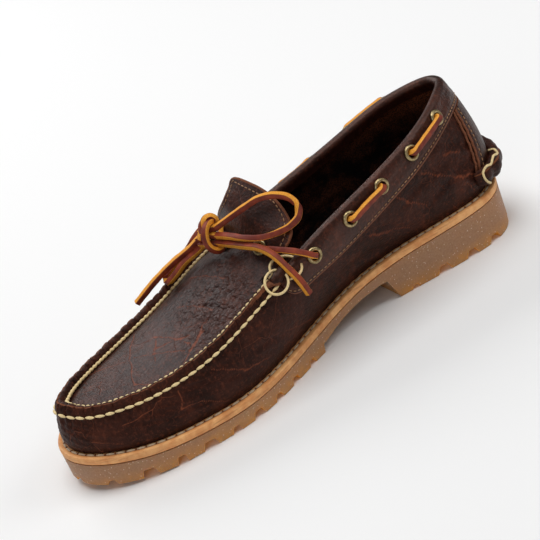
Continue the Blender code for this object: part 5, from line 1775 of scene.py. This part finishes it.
def make_strap():
    """Strap up the back seam, with the cut edges of its leather."""
    def strap(u, w):
        v = STRAP_FOOT - 0.05 + (STRAP_HEAD - STRAP_FOOT + 0.05) * w
        t = HEEL_ROW + (u * 2 - 1) * strap_half(v) * (1.0 + 0.02 * np.sin(w * 9.0))
        edge = np.minimum(u, 1 - u) * strap_half(v) * 2 * 17.0
        return wall(t, v, GAP + BAND - 0.25 + 0.30 * smooth(0.0, 1.2, edge) - 0.30 * hump(edge, 2.6, 0.8))

    def outward(u, w):
        v = STRAP_FOOT + (STRAP_HEAD - STRAP_FOOT) * w
        return wall_normal(HEEL_ROW + (u * 2 - 1) * strap_half(v), v)
    piece = laid_grid("heel_strap_leather", STRAP_STEPS, strap, outward)
    thicken(piece, BAND - 0.15, 0, 1)
    finish_piece(piece, ["collar leather", "raw edge"], ("heel_strap",), angle=50.0)
    v = np.linspace(ROLL_V + 0.07, STRAP_HEAD, 60)
    for name, side in SIDES:
        for layer, beyond, out in STRAP_EDGES:
            wobble = 0.15 * np.sin(v * 70.0 + layer) + 0.1 * np.sin(v * 143.0)
            path = wall(HEEL_ROW + side * (strap_half(v) + beyond / 15.0), v, out + wobble)
            finish_piece(round_tube(f"heel_strap_edge_{name}_{layer}", path, 0.75), ["raw edge"])


def make_roll():
    """Gathered roll that the strap runs into, held by a thread at each end."""
    angles = round_angles(ROLL_SIDES)
    offsets = np.linspace(-ROLL_HALF, ROLL_HALF, ROLL_STATIONS)
    rings = [[roll_point(offset, a) for a in angles] for offset in offsets]
    piece = tube_mesh("heel_roll_leather", rings)
    finish_piece(piece, ["roll leather"], ("heel_roll",), angle=70.0)
    for name, side in SIDES:
        points = [roll_point(side * offset, a, 0.45) for offset, a in ROLL_THREAD]
        tube = round_tube(f"heel_thread_{name}", even_path(points, THREAD_SPACING), 0.72)
        finish_piece(tube, ["cream thread"])


# ---- sole ----
SOLE_STATIONS = 520
FINE_ROWS = np.linspace(0.0, ROWS, 2481)
FINE_EDGE = sole_edge(FINE_ROWS)
FINE_RUN = running_length(FINE_EDGE)


def edge_rows(count):
    """Rows evenly spaced along the sole's edge."""
    return np.interp(np.linspace(0.0, FINE_RUN[-1], count, endpoint=False), FINE_RUN, FINE_ROWS)


RIM_INSET = 8.0         # a plate follows the edge this far in, and then draws towards its middle line
MIDDLE_INSET = 100.0    # which stands for the middle line itself
MIDDLE_BACK = 34.0      # how far the middle line stops short of the heel and of the toe
MIDDLE_FRONT = 40.0
INNER_RINGS = (12.0, 20.0, 32.0, 50.0, 70.0, MIDDLE_INSET)


def middle_line(s):
    """Halfway between the sole's two edges at s."""
    inner = FINE_EDGE[FINE_ROWS < HEEL_ROW][::-1]
    outer = FINE_EDGE[FINE_ROWS > HEEL_ROW]
    return (np.interp(s, inner[:, 0], inner[:, 1]) + np.interp(s, outer[:, 0], outer[:, 1])) / 2


def slab(name, rim, top, bottom):
    """Plate within the sole's outline. rim gives inset, share of the height from the bottom, and lift."""
    below = [(inset, 0.0, 0.0) for inset in reversed(INNER_RINGS)]
    above = [(inset, 1.0, 0.0) for inset in INNER_RINGS]
    t = edge_rows(SOLE_STATIONS)
    edge = sole_edge(t)
    normal = plan_normal(foot_point, t)
    s = np.clip(edge[:, 0], edge[:, 0].min() + MIDDLE_BACK, edge[:, 0].max() - MIDDLE_FRONT)
    middle = np.stack([s, middle_line(s)], -1)
    rings = []
    for inset, share, lift in below + rim + above:
        plan = edge - normal * min(inset, RIM_INSET)
        if inset > RIM_INSET:
            plan = plan + (middle - plan) * ((inset - RIM_INSET) / (MIDDLE_INSET - RIM_INSET))
        z = bottom(plan[:, 0]) * (1 - share) + top(plan[:, 0]) * share + lift
        rings.append(np.column_stack([plan, z]))
    rings = np.array(rings).transpose(1, 0, 2)
    count, size = rings.shape[:2]
    faces = [(r * size + c, r * size + c + 1, (r + 1) % count * size + c + 1, (r + 1) % count * size + c)
             for r in range(count) for c in range(size - 1)]
    piece = new_piece(name, place(rings.reshape(-1, 3)), faces)
    close_middle(piece)
    return piece


def close_middle(piece):
    """Bridges the two open inner rims of a slab to one seam along its middle and faces it outwards."""
    weld(piece, 2e-5)
    activate(piece)
    bpy.ops.object.mode_set(mode="EDIT")
    bpy.ops.mesh.select_all(action="DESELECT")
    bpy.ops.mesh.select_mode(type="VERT")
    bpy.ops.mesh.select_non_manifold()
    bpy.ops.mesh.remove_doubles(threshold=4e-4)
    bpy.ops.mesh.select_all(action="DESELECT")
    bpy.ops.mesh.select_non_manifold()
    bpy.ops.mesh.fill_holes(sides=0)
    bpy.ops.object.mode_set(mode="OBJECT")
    face_outwards(piece)


def midsole_bottom(s):
    return midsole_top(s) - MIDSOLE_THICKNESS


MIDSOLE_RIM = [         # inset, share of the height, lift: the burnished edge, then the stitches' groove
    (4.0, 0.0, 0.0), (0.7, 0.0, 0.0), (0.2, 0.0, 0.25), (0.0, 0.0, 0.8), (-0.12, 0.30, 0.0),
    (-0.12, 0.55, 0.0), (0.0, 1.0, -0.9), (0.25, 1.0, -0.28), (0.8, 1.0, 0.0), (2.3, 1.0, 0.0),
    (2.75, 1.0, -0.25), (3.4, 1.0, -0.45), (4.05, 1.0, -0.25), (4.6, 1.0, 0.0),
]
GROOVE_INSET = 3.4
GROOVE_STEPS = 4000


def make_midsole():
    """Leather midsole with its ledge and stitched groove."""
    piece = slab("midsole_leather", MIDSOLE_RIM, midsole_top, midsole_bottom)
    finish_piece(piece, ["midsole"], ("midsole",), angle=40.0)


def sew_midsole():
    """Lockstitch in the midsole's groove, with a hole between each two stitches."""
    line = sole_edge(edge_rows(GROOVE_STEPS), LEDGE - GROOVE_INSET)
    line = np.column_stack([line, midsole_top(line[:, 0]) + 0.12])
    line = np.concatenate([line, line[:1]])
    run = running_length(line)
    pitch = sizes().welt_pitch
    where = np.linspace(0.0, run[-1], int(run[-1] / pitch), endpoint=False)
    centre = interp_points(where, run, line)
    along = interp_points((where + 0.5) % run[-1], run, line) - centre + 1e-6
    piece = stitches("midsole_stitches", centre, along, UP, (pitch * 0.46, 0.74, 0.7))
    finish_piece(piece, ["grey thread"])
    gap = np.roll(centre, -1, axis=0) / 2 + centre / 2 + UP * 0.12
    piece = stitches("midsole_stitch_holes", gap, along, UP, (0.5, 0.8, 0.40))
    finish_piece(piece, ["raw edge"])


def arch_cutter():
    """Block across the shoe that clears the waist between the heel block and the forefoot tread."""
    far, below = 90.0, -5.0
    s = np.linspace(BREAST_TOP, ARCH_FRONT, 40)
    profile = [(HEEL_BREAST - 2.0, below)] + list(zip(s, sole_height(s, "web"))) + [(ARCH_FRONT + 2.0, below)]
    cutter = tube_mesh("arch cutter", [[(p[0], x, p[1]) for p in profile] for x in (-far, far)])
    cutter.data.materials.append(finish("rubber"))
    return cutter


def edge_distance_point(distance):
    """Point and outward normal on the sole's edge, a distance from the heel's back along the inner side."""
    heel_run = np.interp(HEEL_ROW, FINE_ROWS, FINE_RUN)
    t = np.interp((heel_run - distance) % FINE_RUN[-1], FINE_RUN, FINE_ROWS)
    return sole_edge(t), plan_normal(foot_point, t)


LUG_CHAMFER = 0.4       # at the top of the gaps between the lugs
GAP_REACH = 4.0         # how far their cutters stand out past the edge


def gap_section(foot, head, height, floor):
    """Outline of a gap between two lugs: half widths and heights, from 1 mm under the floor."""
    foot_half = foot / 2 + (foot - head) / height / 2
    right = ((foot_half, floor - 1.0), (head / 2, floor + height - LUG_CHAMFER),
             (head / 2 - LUG_CHAMFER, floor + height))
    return ((-foot_half, floor - 1.0),) + right + tuple((-half, z) for half, z in right[:0:-1])


def gap_cutter():
    """All the wedges between the edge lugs, as one cutter."""
    wedges = []
    for distance, foot, head, height in GAPS:
        for along_edge in (distance, -distance):
            spot, out = edge_distance_point(along_edge)
            side = np.array([-out[1], out[0]])
            section = gap_section(foot, head, height, float(tread(spot[0])))
            rings = [[np.append(spot + out * reach + side * half, z) for half, z in section]
                     for reach in (GAP_REACH, -GAP_DEPTH)]
            wedges.append(tube_mesh("gap", rings))
    cutter = joined(wedges)
    cutter.data.materials.append(finish("rubber"))
    cutter.data.materials.append(finish("gap rubber"))
    cutter.data.polygons.foreach_set("material_index", [1] * len(cutter.data.polygons))
    return cutter


OUTSOLE_RIM = [         # inset, share of the height, lift
    (4.0, 0.0, 0.0), (0.8, 0.0, 0.0), (0.2, 0.0, 0.2), (0.0, 0.0, 0.8), (0.0, 1.0, -0.5), (0.15, 1.0, -0.1),
    (0.5, 1.0, 0.0), (4.0, 1.0, 0.0),
]


def make_outsole():
    """Rubber sole with its arch, heel block and edge lugs."""
    piece = slab("outsole_rubber", OUTSOLE_RIM, lambda s: midsole_bottom(s) - GAP, tread)
    piece.data.materials.append(finish("rubber"))
    for cutter in (arch_cutter(), gap_cutter()):
        cut(piece, cutter, material_mode="TRANSFER")
    in_gap = [1 if piece.data.materials[face.material_index].name.startswith("gum rubber gap") else 0
              for face in piece.data.polygons]
    finish_piece(piece, ["rubber", "gap rubber"], ("outsole",))
    piece.data.polygons.foreach_set("material_index", in_gap)
    shade(piece, 35.0)


def dress_insole():
    """Leather insole: the solid keeps its shape and takes its finish."""
    node = bpy.data.objects["insole"]
    for slot in node.material_slots:
        slot.material = finish("suede")


# ---- stage ----
CAMERA_PLACE = (0.727562, -0.276481, 0.461554)
CAMERA_RIGHT = (0.5322, 0.7844, -0.3186)
CAMERA_LENS = 104.0
AIM = (0.0, 0.0, 0.043)
LIGHTS = (              # name, place, width, height, power
    ("window", (-1.30, -0.20, 1.05), 1.2, 1.1, 12.0),
    ("overhead", (0.1, 0.0, 1.9), 1.5, 1.5, 22.0),
    ("side", (0.6, 1.2, 1.2), 0.8, 0.8, 6.0),
    ("fill", (1.3, -1.3, 0.9), 1.0, 0.9, 4.0),
)


def make_stage():
    """Camera, floor, soft lights and a pale surrounding."""
    scene = bpy.context.scene
    scene.view_settings.view_transform = "Standard"
    eye = Vector(CAMERA_PLACE)
    back = (eye - Vector(AIM)).normalized()
    right = Vector(CAMERA_RIGHT)
    right = (right - back * right.dot(back)).normalized()
    up = back.cross(right)
    lens = bpy.data.cameras.new("camera")
    lens.lens = CAMERA_LENS
    lens.sensor_width = 36.0
    lens.clip_start = 0.02
    lens.clip_end = 30.0
    camera = bpy.data.objects.new("camera", lens)
    scene.collection.objects.link(camera)
    stand = Matrix((right, up, back)).transposed().to_4x4()
    stand.translation = eye
    camera.matrix_world = stand
    scene.camera = camera

    deselect()
    bpy.ops.mesh.primitive_plane_add(size=14.0, location=(0.0, 0.0, 0.0))
    floor = bpy.context.object
    floor.name = "floor"
    floor.data.materials.append(finish("floor"))

    for name, spot, wide, high, power in LIGHTS:
        lamp = bpy.data.lights.new(name, "AREA")
        lamp.shape = "RECTANGLE"
        lamp.size, lamp.size_y = wide, high
        lamp.energy = power
        light = bpy.data.objects.new(name, lamp)
        light.location = spot
        light.rotation_euler = (Vector(AIM) - Vector(spot)).to_track_quat("-Z", "Y").to_euler()
        scene.collection.objects.link(light)
    world = bpy.data.worlds.new("studio")
    scene.world = world
    world.use_nodes = True
    world.node_tree.nodes["Background"].inputs["Color"].default_value = (1.0, 1.0, 1.0, 1.0)
    world.node_tree.nodes["Background"].inputs["Strength"].default_value = 0.15


# ---- add-on ----
class ShoeOperator(bpy.types.Operator):
    """Base of the shoe's operators."""
    bl_idname = "shoe.base"
    bl_label = "Shoe part"
    bl_options = {"REGISTER", "UNDO"}

    def execute(self, context):
        self.build()
        deselect()
        return {"FINISHED"}


def operator(idname, label, text, *makers):
    """An operator class that runs makers in order."""
    def build(self):
        for maker in makers:
            maker()
    name = "SHOE_OT_" + idname
    return type(name, (ShoeOperator,), {"__doc__": text, "bl_idname": "shoe." + idname, "bl_label": label,
                                        "build": build})


OPERATORS = (
    operator("stage", "Stage", "Adds the camera, floor and studio light", make_stage),
    operator("bow", "Bow", "Ties the bow: knot, two loops and two ends", make_bow),
    operator("lace_bars", "Lace bars", "Runs the lace between its eyelets", make_bars),
    operator("wall", "Upper wall", "Shapes the upper's wall with its gathers and creases", make_wall),
    operator("plug", "Plug and tongue", "Shapes the plug and the tongue from one leather", make_plug),
    operator("ridge", "Seam ridge", "Raises the hand-sewn seam round the plug", make_ridge),
    operator("collar", "Collar", "Folds the collar's leather over the top edge", make_collar),
    operator("heel", "Heel strap and roll", "Adds the strap and gathered roll at the back",
             make_strap, make_roll),
    operator("threads", "Hand stitches", "Sews the seam and ties its ends",
             sew_seam_outside, sew_seam_inside, make_throat_ties),
    operator("machine_stitches", "Machine stitches", "Sews the collar, strap and tongue",
             sew_collar, sew_strap, sew_tongue, edge_tongue),
    operator("eyelets", "Eyelets", "Sets the brass eyelets", make_eyelets),
    operator("midsole", "Midsole", "Cuts the leather midsole and its lockstitch", make_midsole, sew_midsole),
    operator("outsole", "Outsole", "Moulds the lugged rubber sole", make_outsole),
    operator("insole", "Insole", "Finishes the insole", dress_insole),
)


class SHOE_PT_panel(bpy.types.Panel):
    """Lists the shoe's pieces, sizes and colours."""
    bl_idname = "SHOE_PT_panel"
    bl_label = "Hand-sewn moccasin"
    bl_space_type = "VIEW_3D"
    bl_region_type = "UI"
    bl_category = "Shoe"

    def draw(self, context):
        column = self.layout.column()
        for entry in OPERATORS:
            column.operator(entry.bl_idname)
        for group in (context.scene.shoe_sizes, context.scene.shoe_colours):
            for key in type(group).__annotations__:
                column.prop(group, key)


CLASSES = (ShoeColours, ShoeSizes) + OPERATORS + (SHOE_PT_panel,)


def register():
    for entry in CLASSES:
        bpy.utils.register_class(entry)
    bpy.types.Scene.shoe_colours = bpy.props.PointerProperty(type=ShoeColours)
    bpy.types.Scene.shoe_sizes = bpy.props.PointerProperty(type=ShoeSizes)


def unregister():
    del bpy.types.Scene.shoe_sizes
    del bpy.types.Scene.shoe_colours
    for entry in reversed(CLASSES):
        bpy.utils.unregister_class(entry)


def main():
    register()
    for entry in OPERATORS:
        getattr(bpy.ops.shoe, entry.bl_idname.split(".")[1])()


if __name__ == "__main__":
    main()
